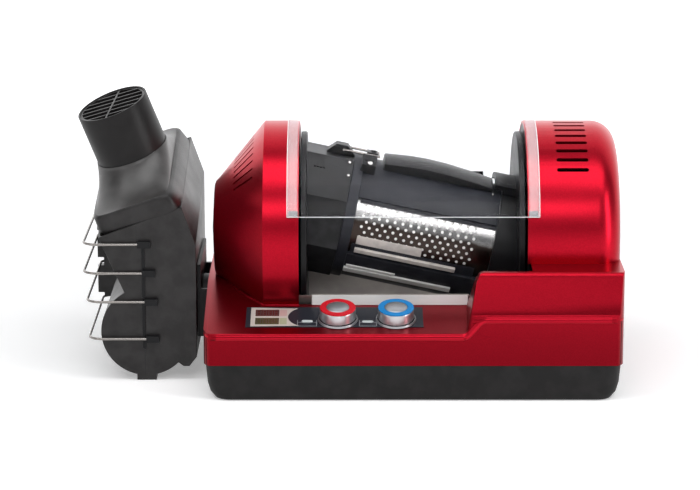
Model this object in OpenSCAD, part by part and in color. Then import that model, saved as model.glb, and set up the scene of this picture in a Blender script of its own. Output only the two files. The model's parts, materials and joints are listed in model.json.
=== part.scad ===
// Home coffee bean roaster: an off-axis drum turns between two arched towers
// under a clear hinged cover, and a chaff collector docks on its left side.
// Millimetres. X to the right, Y to the rear, Z up. The origin is on the
// surface that the roaster stands on, under the middle of the whole roaster.

/* [Body] */
// Space between the inner rims of the two towers
span = 207; // [200:1:214]
// Width of the body from a tower's inner rim to its side
tower_w = 85; // [82:0.5:90]
// Depth of the deck in front of the tower arches
deck_d = 40; // [38:0.5:44]
// Height of the black base above the ground
base_h = 33; // [30:1:36]
// Height of the rubber feet
foot_h = 1; // [1:0.5:3]
// Radius of the body's upright corners
corner_r = 14; // [8:1:20]
// Wall of the painted shells
wall = 2.5; // [2:0.1:3]

/* [Deck and block] */
// Height of the deck's front edge
deck_front_z = 62; // [58:1:66]
// Slope of the deck, in degrees
deck_slope = 13.5; // [11:0.5:15]
// Height where the deck turns level
deck_top_z = 87; // [84:1:92]
// Width of the front block at its top
block_w = 131; // [126:0.5:136]
// Height of the front block's top
block_z = 117.5; // [112:0.5:120]
// How far the block's left face spreads towards its foot
block_spread = 11; // [6:1:14]

/* [Towers] */
// Radius of the tower arches
arch_r = 100; // [98:0.5:104]
// Height of the drum's turning axis
axis_z = 129; // [127:0.5:132]
// Length of the left tower's cone
cone_len = 47; // [43:0.5:50]
// Distance of the cone's end face from the body's left side
cone_inset = 5.5; // [3:0.5:8]
// Radius of the left tower's end face
cone_end_r = 43; // [38:1:48]
// Radius of the right tower's outer corner
tower_corner_r = 22; // [16:1:26]
// Number of air slots on the right tower
slot_count = 8; // [5:1:9]
// Angle between neighbouring air slots, in degrees
slot_pitch = 6.4; // [6:0.1:7]
// Width of an air slot
slot_w = 4; // [3:0.2:5]
// Length of an air slot on the right tower
slot_len = 29; // [20:1:34]

/* [Cover] */
// Thickness of the clear cover
cover_t = 2.5; // [2:0.1:3]
// Gap between the arches and the cover
cover_gap = 1.5; // [1:0.1:2]
// How far the cover laps over each tower
cover_lap = 10.7; // [8:0.1:13]
// Angle from the top to the cover's front edge, in degrees
cover_front = 72; // [66:1:78]
// Angle from the top to the cover's rear edge, in degrees
cover_rear = 80; // [77:1:83]
// Diameter of the cover's hinge pins
hinge_pin_d = 5; // [4:0.5:6]

/* [Drum] */
// Tilt of the drum's own axis against its turning axis, in degrees
drum_tilt = 12; // [10:0.5:13]
// Outer radius of the steel drum
drum_r = 52; // [48:0.5:54]
// Thickness of the steel drum's sheet
drum_t = 0.8; // [0.6:0.1:1.5]
// Distance along its axis from the left drive disc to the steel drum
drum_left = 40.5; // [38:0.5:44]
// Distance along its axis from the right drive disc to the steel drum
drum_right = 22.5; // [20:0.5:26]
// Outer radius of the drum's crest strap
crest_r = 66; // [63:0.5:68]
// How much smaller the drive discs are than the arches, in radius
disc_inset = 10; // [9:0.5:14]
// Thickness of the drive discs
disc_t = 5.5; // [4:0.5:6]
// Outer radius of the hollow hubs that carry the drum
hub_r = 38; // [34:0.5:40]
// Running clearance between a hub and its bush
run_gap = 0.06; // [0.03:0.01:0.09]
// Space between the drive discs and the steel trough under them
trough_gap = 2.5; // [2:0.1:4]

/* [Drive] */
// Teeth on the drum's ring gear
gear_teeth = 60; // [50:2:64]
// Teeth on the motor's pinion
pinion_teeth = 12; // [12:1:16]
// Gear module
gear_mod = 2; // [1.8:0.1:2.2]
// Face width of the gears
gear_w = 8; // [6:0.5:10]
// Blades on the fan rotor
blade_count = 7; // [5:1:9]
// Radius of the fan rotor
fan_r = 31; // [27:0.5:32]

/* [Controls] */
// Diameter of the knobs at their ring
knob_d = 33; // [30:0.5:36]
// Height of the knobs above the deck
knob_h = 13; // [11:0.5:16]
// Travel of a knob when it is pushed
knob_push = 1.2; // [0.8:0.1:2]
// Distance between the two knobs
knob_pitch = 52.4; // [48:0.2:56]
// Width of the control label
label_w = 160; // [150:1:166]
// Depth of the control label
label_d = 38; // [34:1:40]

/* [Chaff collector] */
// How far the collector's front face is before the turning axis
col_before = 68; // [60:1:76]
// Depth of the collector
col_d = 166; // [150:1:172]
// Space between the body's left side and the collector
col_gap = 9.5; // [8:0.5:13]
// Radius of the round chaff bin
bin_r = 41.5; // [38:0.5:43]
// Distance from the collector's right side to the bin's middle
bin_x = 46.3; // [44:0.5:50]
// Height of the bin's middle
bin_z = 46; // [45:0.5:50]
// Wall of the collector
col_wall = 2.2; // [1.8:0.1:3]
// How far the cap leans to the left, in degrees
cap_lean = 20; // [16:0.5:24]
// How far the cap leans to the front, in degrees
cap_tip = 11.5; // [8:0.5:14]
// Height of the cap's straight band
cap_band = 16; // [12:1:20]
// Height of the outlet tube's foot above the cap's seam
tube_foot = 40; // [36:1:46]
// Outer radius of the outlet tube
tube_r = 33.6; // [30:0.1:36]
// Length of the outlet tube
tube_len = 50; // [40:1:56]
// Slats in the outlet grille
slat_count = 6; // [4:1:8]
// Wire diameter of the guards
guard_d = 2.4; // [2:0.1:3]

/* [Hidden] */
$fn = 64;

e = 0.01;                                  // overlap that keeps cuts clean
tower_in = span / 2;                       // inner rim of each tower, from the middle
half_w = tower_in + tower_w;
cone_end = half_w - cone_inset;            // end face of the left tower
cone_start = cone_end - cone_len;
block_x = half_w - block_w;                // left edge of the front block, at its top
axis_y = 20;                               // depth position of the drum's turning axis
rear_y = axis_y + arch_r;                  // the arches are flush with the rear
front_y = axis_y - arch_r - deck_d;
body_d = rear_y - front_y;
disc_r = arch_r - disc_inset;
trough_r = disc_r + trough_gap;
lip = 1.8;                                 // how far the upper moulding stands over the lower
deck_turn_y = front_y + (deck_top_z - deck_front_z) / tan(deck_slope);
well_front = axis_y - disc_r + 7.5;        // front edge of the opening behind the deck
well_rear = axis_y + disc_r + 2;
cover_in = arch_r + cover_gap;
cover_out = cover_in + cover_t;
cover_end = tower_in + cover_lap;
disc_gap = 1.5;                            // space between a drive disc and the tower rim
disc_in = tower_in - disc_gap - disc_t;    // inner face of a drive disc, from the middle
drum_x0 = -disc_in + drum_left;            // ends of the steel drum, along its own axis
drum_x1 = disc_in - drum_right;
col_front = axis_y - col_before;
col_right = -half_w - col_gap;
bulkhead_t = 3;
bush_r = hub_r + 4;
bush_len = 9;
bulkhead_x = tower_in + 0.5;
gear_x = bulkhead_x + bush_len + 1;
left_hub_end = bulkhead_x + bush_len + 2;
right_hub_end = gear_x + gear_w + 2;
ring_r = gear_teeth * gear_mod / 2;
pinion_r = pinion_teeth * gear_mod / 2;
centre_dist = ring_r + pinion_r;
motor_angle = -45;                         // where the pinion meets the ring gear
motor_y = axis_y + centre_dist * cos(motor_angle);
motor_z = axis_z + centre_dist * sin(motor_angle);
label_cx = -half_w + 117.5;                // middle of the control label
label_cy = front_y + 32.5;
knob_y = front_y + 28;                     // where the knobs' axes meet the deck
knob_x0 = label_cx + 3;
col_rear = col_front + col_d;
bin_cx = col_right - bin_x;
port_y = axis_y;                           // middle of the exhaust port
port_z = 60;
port_r = 20;                               // outer radius of the exhaust duct

guard_z = [129, 102, 75, 40];              // heights of the wire guards
guard_left = [for (d = [103, 103, 100.5, 99]) col_right - d];   // their left sides
guard_clip_x = [for (d = [47, 43, 41, 40]) col_right - d];      // where their clips hold them
guard_y = col_front - 4;
hinge_y = rear_y + 4.5;                    // axis of the cover's hinge
hinge_z = axis_z + 11;
lug_r = 5.5;                               // outer radius of the hinge's eyes
cap_x = col_right - 50;                    // the cap's frame stands on the middle of the seam
cap_y = col_front + col_d / 2 + 1;
cap_z = 166;
tube_x = 2;
tube_y = -7;

// The sizes above are written from the middle of the base. The part is then moved so
// that its origin lies under the middle of the whole, with the collector on.
tube_left = cap_x + tube_x * cos(cap_lean) - (tube_foot + tube_len) * sin(cap_lean) - tube_r * cos(cap_lean);
origin_x = (tube_left + half_w) / 2;
origin_y = (front_y + hinge_y + lug_r) / 2;

module placed() {
    translate([-origin_x, -origin_y, 0]) children();
}

function deck_z(y) = deck_front_z + (y - front_y) * tan(deck_slope);
// Where the left face of the front block stands at a height.
function block_face(z) = block_x - block_spread * (block_z + 1 - z) / (block_z + 4 - deck_front_z);
function arc(cx, cy, r, a0, a1, n) =
    [for (i = [0:n]) [cx + r * cos(a0 + (a1 - a0) * i / n), cy + r * sin(a0 + (a1 - a0) * i / n)]];

// A section drawn in (y, z) and run from x0 to x1.
module along_x(x0, x1) {
    translate([x0, 0, 0]) rotate([90, 0, 90]) linear_extrude(x1 - x0) children();
}

// A section drawn in (x, z) and run from y0 to y1.
module along_y(y0, y1) {
    translate([0, y1, 0]) rotate([90, 0, 0]) linear_extrude(y1 - y0) children();
}

// A cylinder along X on the turning axis, from x0 to x1.
module on_axis(x0, x1, r) {
    translate([x0, axis_y, axis_z]) rotate([0, 90, 0]) cylinder(h = x1 - x0, r = r, $fn = 96);
}

// Children drawn on the deck's plane, at a point in x and y on it.
module on_deck(x, y) {
    translate([x, y, deck_z(y)]) rotate([deck_slope, 0, 0]) children();
}

// Children drawn in the drum's own frame, where X is its tilted axis.
module in_drum() {
    translate([0, axis_y, axis_z]) rotate([0, drum_tilt, 0]) children();
}

module rounded_rect(x0, x1, y0, y1, r) {
    union() {
        translate([x0 + r, y0]) square([x1 - x0 - 2 * r, y1 - y0]);
        translate([x0, y0 + r]) square([x1 - x0, y1 - y0 - 2 * r]);
        for (x = [x0 + r, x1 - r], y = [y0 + r, y1 - r]) translate([x, y]) circle(r);
    }
}

module block_shape(x0, x1, y0, y1, z0, z1, r) {
    translate([0, 0, z0]) linear_extrude(z1 - z0) rounded_rect(x0, x1, y0, y1, r);
}

// A ring sector about the X axis, from rear degrees behind the top to front degrees before it.
module sector_x(x0, x1, r0, r1, front, rear) {
    rotate([0, 90, 0]) rotate([0, 0, 180 - rear]) rotate_extrude(angle = front + rear, $fn = 96)
        translate([r0, x0]) square([r1 - r0, x1 - x0]);
}

// ---- base ----

// Heights of the pan's outline, and how far it is drawn in at the sides, front and rear.
pan_levels = [[base_h - 1, 1.5, 2, 1], [15, 3, 3, 2.5], [6.5, 5.5, 3, 5], [foot_h, 10, 3.5, 9]];

module pan_shape(t) {
    hull() for (i = [0:3]) {
        p = pan_levels[i];
        z = i == 3 ? p[0] + t : p[0];
        block_shape(-half_w + p[1] + t, half_w - p[1] - t, front_y + p[2] + t, rear_y - p[3] - t,
            z, z + (i == 0 && t > 0 ? 2 : 1), corner_r, $fn = 32);
    }
}

module base_pan() {
    color([0.13, 0.12, 0.12]) placed() difference() {
        pan_shape(0);
        pan_shape(wall);
    }
}

foot_x = half_w - 48.5;
foot_y = body_d / 2 - 36;
foot_r = 11;

module rubber_feet() {
    color([0.08, 0.08, 0.08]) placed() for (x = [-foot_x, foot_x], y = [-foot_y, foot_y])
        translate([x, y, 0]) cylinder(h = foot_h, r1 = foot_r - 1, r2 = foot_r);
}

// ---- painted upper moulding ----

nose_r = 3.5;                              // round of the moulding's lower front edge
nose_y = front_y + nose_r;
block_foot = 75;                           // height of that edge under the block

module nose_section(top, end_angle, rest, bottom) {
    polygon(concat([[front_y + lip, bottom], [front_y + lip, top - 3]],
        arc(nose_y, top, nose_r, 210, end_angle, 8), rest));
}

module deck_section(bottom) {
    a = 90 + deck_slope;
    end_y = nose_y + nose_r * cos(a);
    top = deck_z(end_y) - nose_r * sin(a);
    nose_section(top, a, [[deck_turn_y, deck_top_z], [rear_y, deck_top_z], [rear_y, bottom]], bottom);
}

module block_section(bottom) {
    top_r = 4;
    lean = 6;                              // how far the block's face leans back
    nose_section(block_foot, 130, concat(
        [[front_y + 3, block_foot + 5]],
        arc(front_y + lean + top_r, block_z - top_r, top_r, 175, 90, 6),
        [[rear_y, block_z], [rear_y, bottom]]), bottom);
}

block_round = 7;                           // round of the block's left front edge
block_top_round = 5;                       // round of its top left corner

module housing_outside() {
    r = block_top_round;
    intersection() {
        union() {
            along_x(-half_w, half_w) deck_section(base_h);
            intersection() {
                along_x(block_x - block_spread, half_w) block_section(base_h);
                hull() for (p = [[block_spread, base_h], [block_spread, deck_front_z - 4], [0, block_z]])
                    block_shape(block_x - p[0], half_w + 2 * block_round, front_y, rear_y + 2 * block_round,
                        p[1], p[1] + 1, block_round, $fn = 48);
                along_y(front_y - 1, rear_y + 1) polygon(concat([[half_w + 1, base_h - 1],
                    [block_x - block_spread - 1, base_h - 1], [block_x - block_spread - 1, block_z - block_spread - r]],
                    arc(block_x + r, block_z - r, r, 190, 90, 8), [[half_w + 1, block_z]]));
            }
        }
        block_shape(-half_w, half_w, front_y - 1, rear_y, base_h, block_z + 1, corner_r);
    }
}

module housing_inside() {
    in_y = front_y + lip + wall;
    under = wall / cos(deck_slope);
    along_x(-half_w + wall, half_w - wall) polygon([[in_y, base_h - 1], [in_y, deck_z(in_y) - under],
        [deck_turn_y, deck_top_z - under], [rear_y - wall, deck_top_z - under], [rear_y - wall, base_h - 1]]);
    along_x(block_x + wall, half_w - wall) polygon([[in_y, base_h - 1], [in_y, block_foot],
        [front_y + 12, block_z - wall], [rear_y - wall, block_z - wall], [rear_y - wall, base_h - 1]]);
}

duct_x = left_hub_end + 2 + port_r;        // where the exhaust duct turns down
inlet_x = half_w - 54.5;                   // middle of the power inlet
inlet_z = 56;
inlet_w = 28;
inlet_h = 20;
key_x = knob_x0 - 27.5;
key_y = front_y + 24;
lamp_x = knob_x0 + 27;
key_len = 10.4;
key_w = 4;
stem_r = 3;

module oval(len, w, h) {
    linear_extrude(h) union() {
        square([len - w, w], center = true);
        for (s = [-1, 1]) translate([s * (len - w) / 2, 0]) circle(w / 2);
    }
}

module control_holes(depth) {
    for (i = [0, 1]) on_deck(knob_x0 + i * knob_pitch, knob_y)
        translate([0, 0, -depth]) cylinder(h = 2 * depth, r = stem_r + 1);
    on_deck(key_x, key_y) translate([0, 0, -depth]) oval(key_len + 0.6, key_w + 0.6, 2 * depth);
    on_deck(lamp_x, key_y) translate([0, 0, -depth]) oval(key_len, key_w, 2 * depth);
}

module housing() {
    color([0.62, 0.06, 0.12]) placed() difference() {
        housing_outside();
        housing_inside();
        // openings under the towers and the drum
        block_shape(-cone_start, block_x + wall, well_front, well_rear, deck_front_z, axis_z, 1);
        translate([-duct_x - port_r - 3, axis_y - port_r - 3, deck_front_z])
            cube([40, 2 * port_r + 6, 60]);
        block_shape(block_x + wall, tower_in + 3, front_y + 14, well_rear, deck_front_z, axis_z, 1);
        block_shape(tower_in + 3 - tower_corner_r, half_w - wall, well_front - 9.5, well_rear, deck_front_z, axis_z,
            tower_corner_r - wall);
        // the block's left wall falls towards the opening's front edge
        along_x(block_x - block_spread - 1, block_x + wall + e) polygon([[front_y + 14, block_z],
            [well_front + e, deck_z(well_front)], [well_front + e, axis_z], [front_y + 14, axis_z]]);
        control_holes(6);
        // exhaust port in the left side, power inlet in the rear
        translate([-half_w - 5, port_y, port_z]) rotate([0, 90, 0]) cylinder(h = 12, r = port_r + 0.3);
        translate([inlet_x - inlet_w / 2, rear_y - 6, inlet_z - inlet_h / 2]) cube([inlet_w, 12, inlet_h]);
    }
}

// ---- towers ----

module left_cone(t) {
    translate([0, axis_y, axis_z]) rotate([0, -90, 0]) rotate_extrude($fn = 96) polygon(concat(
        [[0, tower_in - (t > 0 ? 1 : 0)], [arch_r - t, tower_in - (t > 0 ? 1 : 0)],
         [arch_r - t, cone_start - t * 0.4], [cone_end_r + 5 - t, cone_end - 5 - t]],
        t > 0 ? [] : arc(cone_end_r - 3, cone_end - 7, 7, 40, 80, 3),
        [[0, cone_end + 2.5 - t]]));
}

module left_tower_back(t) {
    translate([-cone_start + t, axis_y, base_h]) cube([cone_start - tower_in + (t > 0 ? 1 : 0) - t,
        rear_y - axis_y - t, axis_z - base_h]);
}

module vent_slots(count, x0, x1) {
    for (i = [0:count - 1]) translate([0, axis_y, axis_z]) rotate([1.1 + slot_pitch * i, 0, 0]) {
        translate([x0, -slot_w / 2, arch_r - 12]) cube([x1 - x0, slot_w, 20]);
        for (x = [x0, x1]) translate([x, 0, arch_r - 12]) cylinder(h = 20, r = slot_w / 2, $fn = 24);
    }
}

cone_angle = atan2(arch_r - cone_end_r - 5, cone_end - 5 - cone_start);

module cone_slots() {
    for (i = [0:slot_count - 1]) translate([-cone_start, axis_y, axis_z]) rotate([1.1 + slot_pitch * i, 0, 0])
        translate([0, 0, arch_r]) rotate([0, -cone_angle, 0])
            translate([-45, -slot_w / 4, -5]) cube([slot_len, slot_w / 2, 12]);
}

module left_tower() {
    color([0.66, 0.07, 0.13]) placed() difference() {
        union() {
            left_cone(0);
            left_tower_back(0);
        }
        left_cone(wall);
        left_tower_back(wall);
        along_x(-half_w - 10, 0) deck_section(0);
        cone_slots();
    }
}

module right_arch(t) {
    r = tower_corner_r;
    translate([0, axis_y, axis_z]) rotate([0, 90, 0]) rotate_extrude($fn = 96) polygon(concat(
        [[0, tower_in - (t > 0 ? 1 : 0)], [arch_r - t, tower_in - (t > 0 ? 1 : 0)]],
        arc(arch_r - r, half_w - r, r - t, 0, 90, 10), [[0, half_w - t]]));
}

module right_tower_back(t) {
    x0 = tower_in - (t > 0 ? 1 : 0);
    r = tower_corner_r;
    translate([0, 0, block_z]) linear_extrude(axis_z - block_z) union() {
        translate([x0, axis_y]) square([half_w - r - x0, rear_y - axis_y - t]);
        translate([x0, axis_y]) square([half_w - t - x0, rear_y - axis_y - r]);
        translate([half_w - r, rear_y - r]) circle(r - t, $fn = 96);
    }
}

module right_tower() {
    color([0.66, 0.07, 0.13]) placed() difference() {
        union() {
            right_arch(0);
            right_tower_back(0);
        }
        right_arch(wall);
        right_tower_back(wall);
        translate([0, front_y - 20, 0]) cube([half_w + 20, body_d + 60, block_z]);
        vent_slots(slot_count, half_w - 56, half_w - 56 + slot_len - slot_w);
    }
}

// ---- walls beside and behind the drum ----

module rear_panel() {
    y0 = well_rear + 1;
    y1 = well_rear + 6;
    top = axis_z + 1;
    color([0.1, 0.1, 0.1]) placed() difference() {
        union() {
            translate([-tower_in, y0, deck_top_z]) cube([tower_in + block_x - block_spread, y1 - y0, top - deck_top_z]);
            translate([block_x - block_spread - e, y0, block_z])
                cube([tower_in - block_x + block_spread, y1 - y0, top - block_z]);
            for (x = hinge_places) for (s = [-1, 1]) hinge_lug(x + s * (hinge_arm_w + 0.6 + lug_w) / 2 , lug_w);
        }
        for (x = hinge_places) hinge_bore(x, 40, 0);
    }
}

hinge_places = [-tower_in + 37.5, tower_in - 37.5];
hinge_arm_w = 12;
lug_w = 7;

module hinge_bore(x, len, gap) {
    translate([x - len / 2, hinge_y, hinge_z]) rotate([0, 90, 0])
        cylinder(h = len, r = hinge_pin_d / 2 + gap, $fn = 48);
}

module hinge_lug(x, w) {
    translate([x - w / 2, hinge_y, hinge_z]) rotate([0, 90, 0]) cylinder(h = w, r = lug_r, $fn = 48);
    along_x(x - w / 2, x + w / 2) polygon([[well_rear + 1, axis_z - 8], [well_rear + 1, axis_z + 2],
        [hinge_y - 4.5, hinge_z + 3], [hinge_y, hinge_z], [hinge_y + 5, hinge_z - 2], [well_rear + 6, axis_z - 8]]);
}

// A wall beside the drum. The children are cut from its round upper part.
module bulkhead_plate(side, low_y, top) {
    x0 = side > 0 ? bulkhead_x : -bulkhead_x - bulkhead_t;
    difference() {
        union() {
            difference() {
                on_axis(x0, x0 + bulkhead_t, arch_r - wall);
                children();
            }
            translate([x0, low_y, base_h]) cube([bulkhead_t, well_rear - 0.5 - low_y, top - base_h + 4]);
        }
        on_axis(x0 - 1, x0 + bulkhead_t + 1, bush_r);
    }
}

module left_bulkhead() {
    color([0.09, 0.09, 0.09]) placed() bulkhead_plate(-1, well_front + 0.5, deck_top_z)
        along_x(-half_w, 0) deck_section(0);
}

module right_bulkhead() {
    color([0.09, 0.09, 0.09]) placed() bulkhead_plate(1, well_front - 9, block_z)
        translate([0, front_y - 20, 0]) cube([half_w, body_d + 60, block_z]);
}

module hub_bushes() {
    color([0.75, 0.72, 0.6]) placed() for (s = [-1, 1]) difference() {
        x0 = s > 0 ? bulkhead_x : -bulkhead_x - bush_len;
        on_axis(x0, x0 + bush_len, bush_r);
        on_axis(x0 - 1, x0 + bush_len + 1, hub_r + run_gap);
    }
}

trough_t = 1;
trough_lip_z = axis_z - 44;                // top of the trough's front flange
trough_lip_y = well_front - 1.5;

module floor_trough() {
    w = bulkhead_x;
    foot = deck_z(trough_lip_y + trough_t);
    color([0.75, 0.75, 0.76]) placed() union() {
        difference() {
            on_axis(-w, w, trough_r + trough_t);
            on_axis(-w - 1, w + 1, trough_r);
            translate([-w - 1, -100, trough_lip_z - trough_t]) cube([2 * w + 2, 240, 200]);
        }
        translate([-w + 12, trough_lip_y, trough_lip_z - trough_t])
            cube([w - 12 + block_face(trough_lip_z - trough_t), 4, trough_t]);
        translate([-w + 12, trough_lip_y, foot])
            cube([w - 12 + block_face(foot), trough_t, trough_lip_z - foot]);
    }
}

// ---- controls ----

label_t = 0.5;

module control_label() {
    color([0.16, 0.16, 0.18]) placed() difference() {
        on_deck(label_cx, label_cy) translate([-label_w / 2, -label_d / 2, 0]) cube([label_w, label_d, label_t]);
        control_holes(3);
    }
}

module knob_bezels() {
    color([0.8, 0.8, 0.82]) placed() for (i = [0, 1]) on_deck(knob_x0 + i * knob_pitch, knob_y) difference() {
        translate([0, 0, label_t]) cylinder(h = 1.8, r1 = knob_d / 2 + 1.8, r2 = knob_d / 2 + 1.3, $fn = 96);
        translate([0, 0, label_t - 1]) cylinder(h = 4, r = knob_d / 2 + 0.4, $fn = 96);
    }
}

board_z = -12;                             // height of the control board below the deck's face

module control_board() {
    color([0.1, 0.35, 0.2]) placed() difference() {
        union() {
            on_deck(label_cx, label_cy) translate([-label_w / 2 + 3, -15, board_z]) cube([label_w - 6, 30, 1.6]);
            for (i = [0, 1]) on_deck(knob_x0 + i * knob_pitch, knob_y)
                translate([-6.5, -6.5, board_z + 1.6 - e]) cube([13, 13, 6.4]);
            for (s = [-1, 1]) on_deck(label_cx - 63, label_cy) translate([-12, s * 8.5 - 5, board_z + 1.6 - e])
                cube([26, 10, 7]);
            for (x = [label_cx - 70, label_cx + 72]) on_deck(x, label_cy)
                translate([0, 0, board_z + 1]) cylinder(h = -board_z - 1 - wall, r = 2.4);
        }
        for (i = [0, 1]) on_deck(knob_x0 + i * knob_pitch, knob_y)
            translate([0, 0, board_z - 1]) cylinder(h = 12, r = stem_r + run_gap);
    }
}

module indicator_lamp() {
    color([0.85, 0.86, 0.84]) placed() on_deck(lamp_x, key_y) translate([0, 0, -2]) oval(key_len, key_w, 2.9);
}

module power_key() {
    color([0.8, 0.88, 0.88]) placed() on_deck(key_x, key_y) translate([0, 0, -2]) oval(key_len, key_w, 3.4);
}

module stem(i) {
    on_deck(knob_x0 + i * knob_pitch, knob_y) translate([0, 0, board_z - 1]) {
        cylinder(h = knob_h - 3 - board_z + 1, r = stem_r);
        cylinder(h = 0.9, r = stem_r + 1.5);
    }
}

module knob(i) {
    r = knob_d / 2;
    on_deck(knob_x0 + i * knob_pitch, knob_y) difference() {
        translate([0, 0, label_t + knob_push + 0.5]) rotate_extrude($fn = 96) polygon(concat(
            [[0, 0], [r - 1.4, 0], [r - 1.2, knob_h - 5]],
            arc(r - 1.6, knob_h - 3.2, 1.6, 0, 70, 4),
            [[r * 0.66, knob_h - 1.7], [r * 0.6, knob_h - 2.2], [0, knob_h - 2.2]]));
        translate([0, 0, -1]) cylinder(h = knob_h - 1.95, r = stem_r + run_gap);
    }
}

module temperature_stem() { color([0.7, 0.7, 0.7]) placed() stem(0); }
module time_stem() { color([0.7, 0.7, 0.7]) placed() stem(1); }
module temperature_knob() { color([0.8, 0.1, 0.15]) placed() knob(0); }
module time_knob() { color([0.1, 0.5, 0.75]) placed() knob(1); }

// ---- clear cover ----

module clear_cover() {
    color([0.85, 0.9, 0.95, 0.3]) placed() translate([0, axis_y, axis_z])
        sector_x(-cover_end, cover_end, cover_in, cover_out, cover_front, cover_rear);
}

module cover_bumpers() {
    color([0.45, 0.45, 0.47]) placed() for (s = [-1, 1]) translate([0, axis_y, axis_z])
        sector_x(s > 0 ? tower_in + 0.5 : -tower_in - 9, s > 0 ? tower_in + 9 : -tower_in - 0.5,
            cover_in - 1.1, cover_in, cover_front - 0.3, -cover_front + 3.2);
}

module cover_hinge_arms() {
    w = hinge_arm_w;
    color([0.12, 0.12, 0.12]) placed() for (x = hinge_places) difference() {
        union() {
            translate([x - w / 2, hinge_y, hinge_z]) rotate([0, 90, 0]) cylinder(h = w, r = lug_r, $fn = 48);
            along_x(x - w / 2, x + w / 2) polygon([[hinge_y - 3, hinge_z], [hinge_y - 8, hinge_z + 7],
                [hinge_y - 8, hinge_z + 22], [hinge_y - 3, hinge_z + 22], [hinge_y + 3.5, hinge_z + 9],
                [hinge_y + 5.4, hinge_z]]);
        }
        hinge_bore(x, 40, run_gap);
        translate([0, axis_y, axis_z]) sector_x(-200, 200, cover_in - 20, cover_out, 90, cover_rear);
    }
}

module hinge_pins() {
    color([0.7, 0.7, 0.7]) placed() for (x = hinge_places) hinge_bore(x, hinge_arm_w + 2 * lug_w + 1.2, 0);
}

// ---- drum ----

hub_wall = 4;
ring_out = 58;                             // outer radius of the drum's end rings
ring_w = 10;
panel_r = 56;                              // outer radius of the dark drum panels
panel_front = 60;                          // angle from the top to the window's upper edge
panel_low = 117;                           // angle from the top to the lower panel's edge

module drive_disc(s, hub_end) {
    far = disc_in + disc_t;
    difference() {
        union() {
            on_axis(s > 0 ? disc_in : -far, s > 0 ? far : -disc_in, disc_r);
            on_axis(s > 0 ? far - e : -hub_end, s > 0 ? hub_end : -far + e, hub_r);
        }
        on_axis(-hub_end - 1, hub_end + 1, hub_r - hub_wall);
    }
}

module left_drive_disc() { color([0.08, 0.08, 0.08]) placed() drive_disc(-1, left_hub_end); }
module right_drive_disc() { color([0.08, 0.08, 0.08]) placed() drive_disc(1, right_hub_end); }

// One flank of an involute tooth, as points from root to tip.
function flank(n, side) =
    let (pr = n * gear_mod / 2, rb = pr * cos(20), tip = pr + 0.85 * gear_mod, root = pr - 1.15 * gear_mod,
        half = 90 / n * 0.93 + (tan(20) - 20 * PI / 180) * 180 / PI,
        a1 = acos(rb / tip), am = acos(rb / pr))
    [for (a = [0, am, a1]) let (rr = rb / cos(a), th = half - (tan(a) - a * PI / 180) * 180 / PI)
        a == 0 ? [min(root, rb), side * th] : [rr, side * th]];

module gear_face(n, turn) {
    polygon([for (i = [0:n - 1]) for (k = [0:5])
        let (f = k < 3 ? flank(n, -1)[k] : flank(n, 1)[5 - k], a = turn + 360 * i / n + f[1])
        [f[0] * cos(a), f[0] * sin(a)]]);
}

// Gear faces are drawn in (y, z), so a turn of 0 puts a tooth on +Y.
module gear_at(cy, cz, n, turn, bore) {
    translate([gear_x, cy, cz]) rotate([90, 0, 90]) difference() {
        linear_extrude(gear_w) gear_face(n, turn);
        translate([0, 0, -1]) cylinder(h = gear_w + 2, r = bore, $fn = 96);
    }
}

module drive_gear() {
    color([0.85, 0.82, 0.7]) placed() difference() {
        gear_at(axis_y, axis_z, gear_teeth, motor_angle, hub_r);
        on_axis(gear_x + gear_w - 2.5, gear_x + gear_w + 1, ring_r - 8);
    }
}

module drum_mesh() {
    color([0.8, 0.8, 0.82]) placed() in_drum() translate([drum_x0, 0, 0]) rotate([0, 90, 0]) difference() {
        cylinder(h = drum_x1 - drum_x0, r = drum_r, $fn = 96);
        translate([0, 0, -1]) cylinder(h = drum_x1 - drum_x0 + 2, r = drum_r - drum_t, $fn = 96);
    }
}

module drum_left_ring() {
    color([0.2, 0.2, 0.23]) placed() in_drum() translate([drum_x0 - ring_w, 0, 0]) rotate([0, 90, 0]) difference() {
        cylinder(h = ring_w, r = ring_out, $fn = 96);
        translate([0, 0, -1]) cylinder(h = ring_w + 2, r = drum_r - 3, $fn = 96);
    }
}

// Cuts a drum piece at the inner face of a drive disc.
module disc_cut(s) {
    translate([s > 0 ? disc_in : -disc_in - 60, axis_y - 120, axis_z - 120]) cube([60, 240, 240]);
}

module drum_socket() {
    reach = disc_in - ring_w;
    color([0.17, 0.17, 0.18]) placed() difference() {
        in_drum() union() {
            translate([-reach - 40, 0, 0]) rotate([0, 90, 0]) rotate([0, 0, 22.5])
                cylinder(h = reach + 40 + drum_x0 - ring_w, r = ring_out + 2, $fn = 8);
            translate([latch_x - 2, -knob_half, ring_out - 6]) rotate([-90, 0, 0]) rotate([0, 0, 22.5])
                cylinder(h = 2 * knob_half, r = 14, $fn = 8);
        }
        in_drum() translate([latch_x, -knob_half - 1, latch_r]) rotate([-90, 0, 0])
            cylinder(h = 2 * knob_half + 2, r = wire_r + run_gap, $fn = 32);
        in_drum() translate([-reach - 45, 0, 0]) rotate([0, 90, 0])
            cylinder(h = reach + 50 + drum_x0, r = hub_r - hub_wall, $fn = 96);
        disc_cut(-1);
    }
}

module drum_right_cap() {
    color([0.1, 0.1, 0.11]) placed() difference() {
        in_drum() union() {
            translate([drum_x1, 0, 0]) rotate([0, 90, 0]) cylinder(h = 60, r = ring_out, $fn = 96);
            sector_x(drum_x1 - 8, drum_x1 + 16, ring_out + 4, ring_out + 9, 24, 24);
            sector_x(drum_x1, drum_x1 + 16, ring_out - 1, ring_out + 4.5, 24, 24);
        }
        in_drum() translate([drum_x1 - 20, 0, 0]) rotate([0, 90, 0])
            cylinder(h = 100, r = hub_r - hub_wall, $fn = 96);
        disc_cut(1);
    }
}

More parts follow.
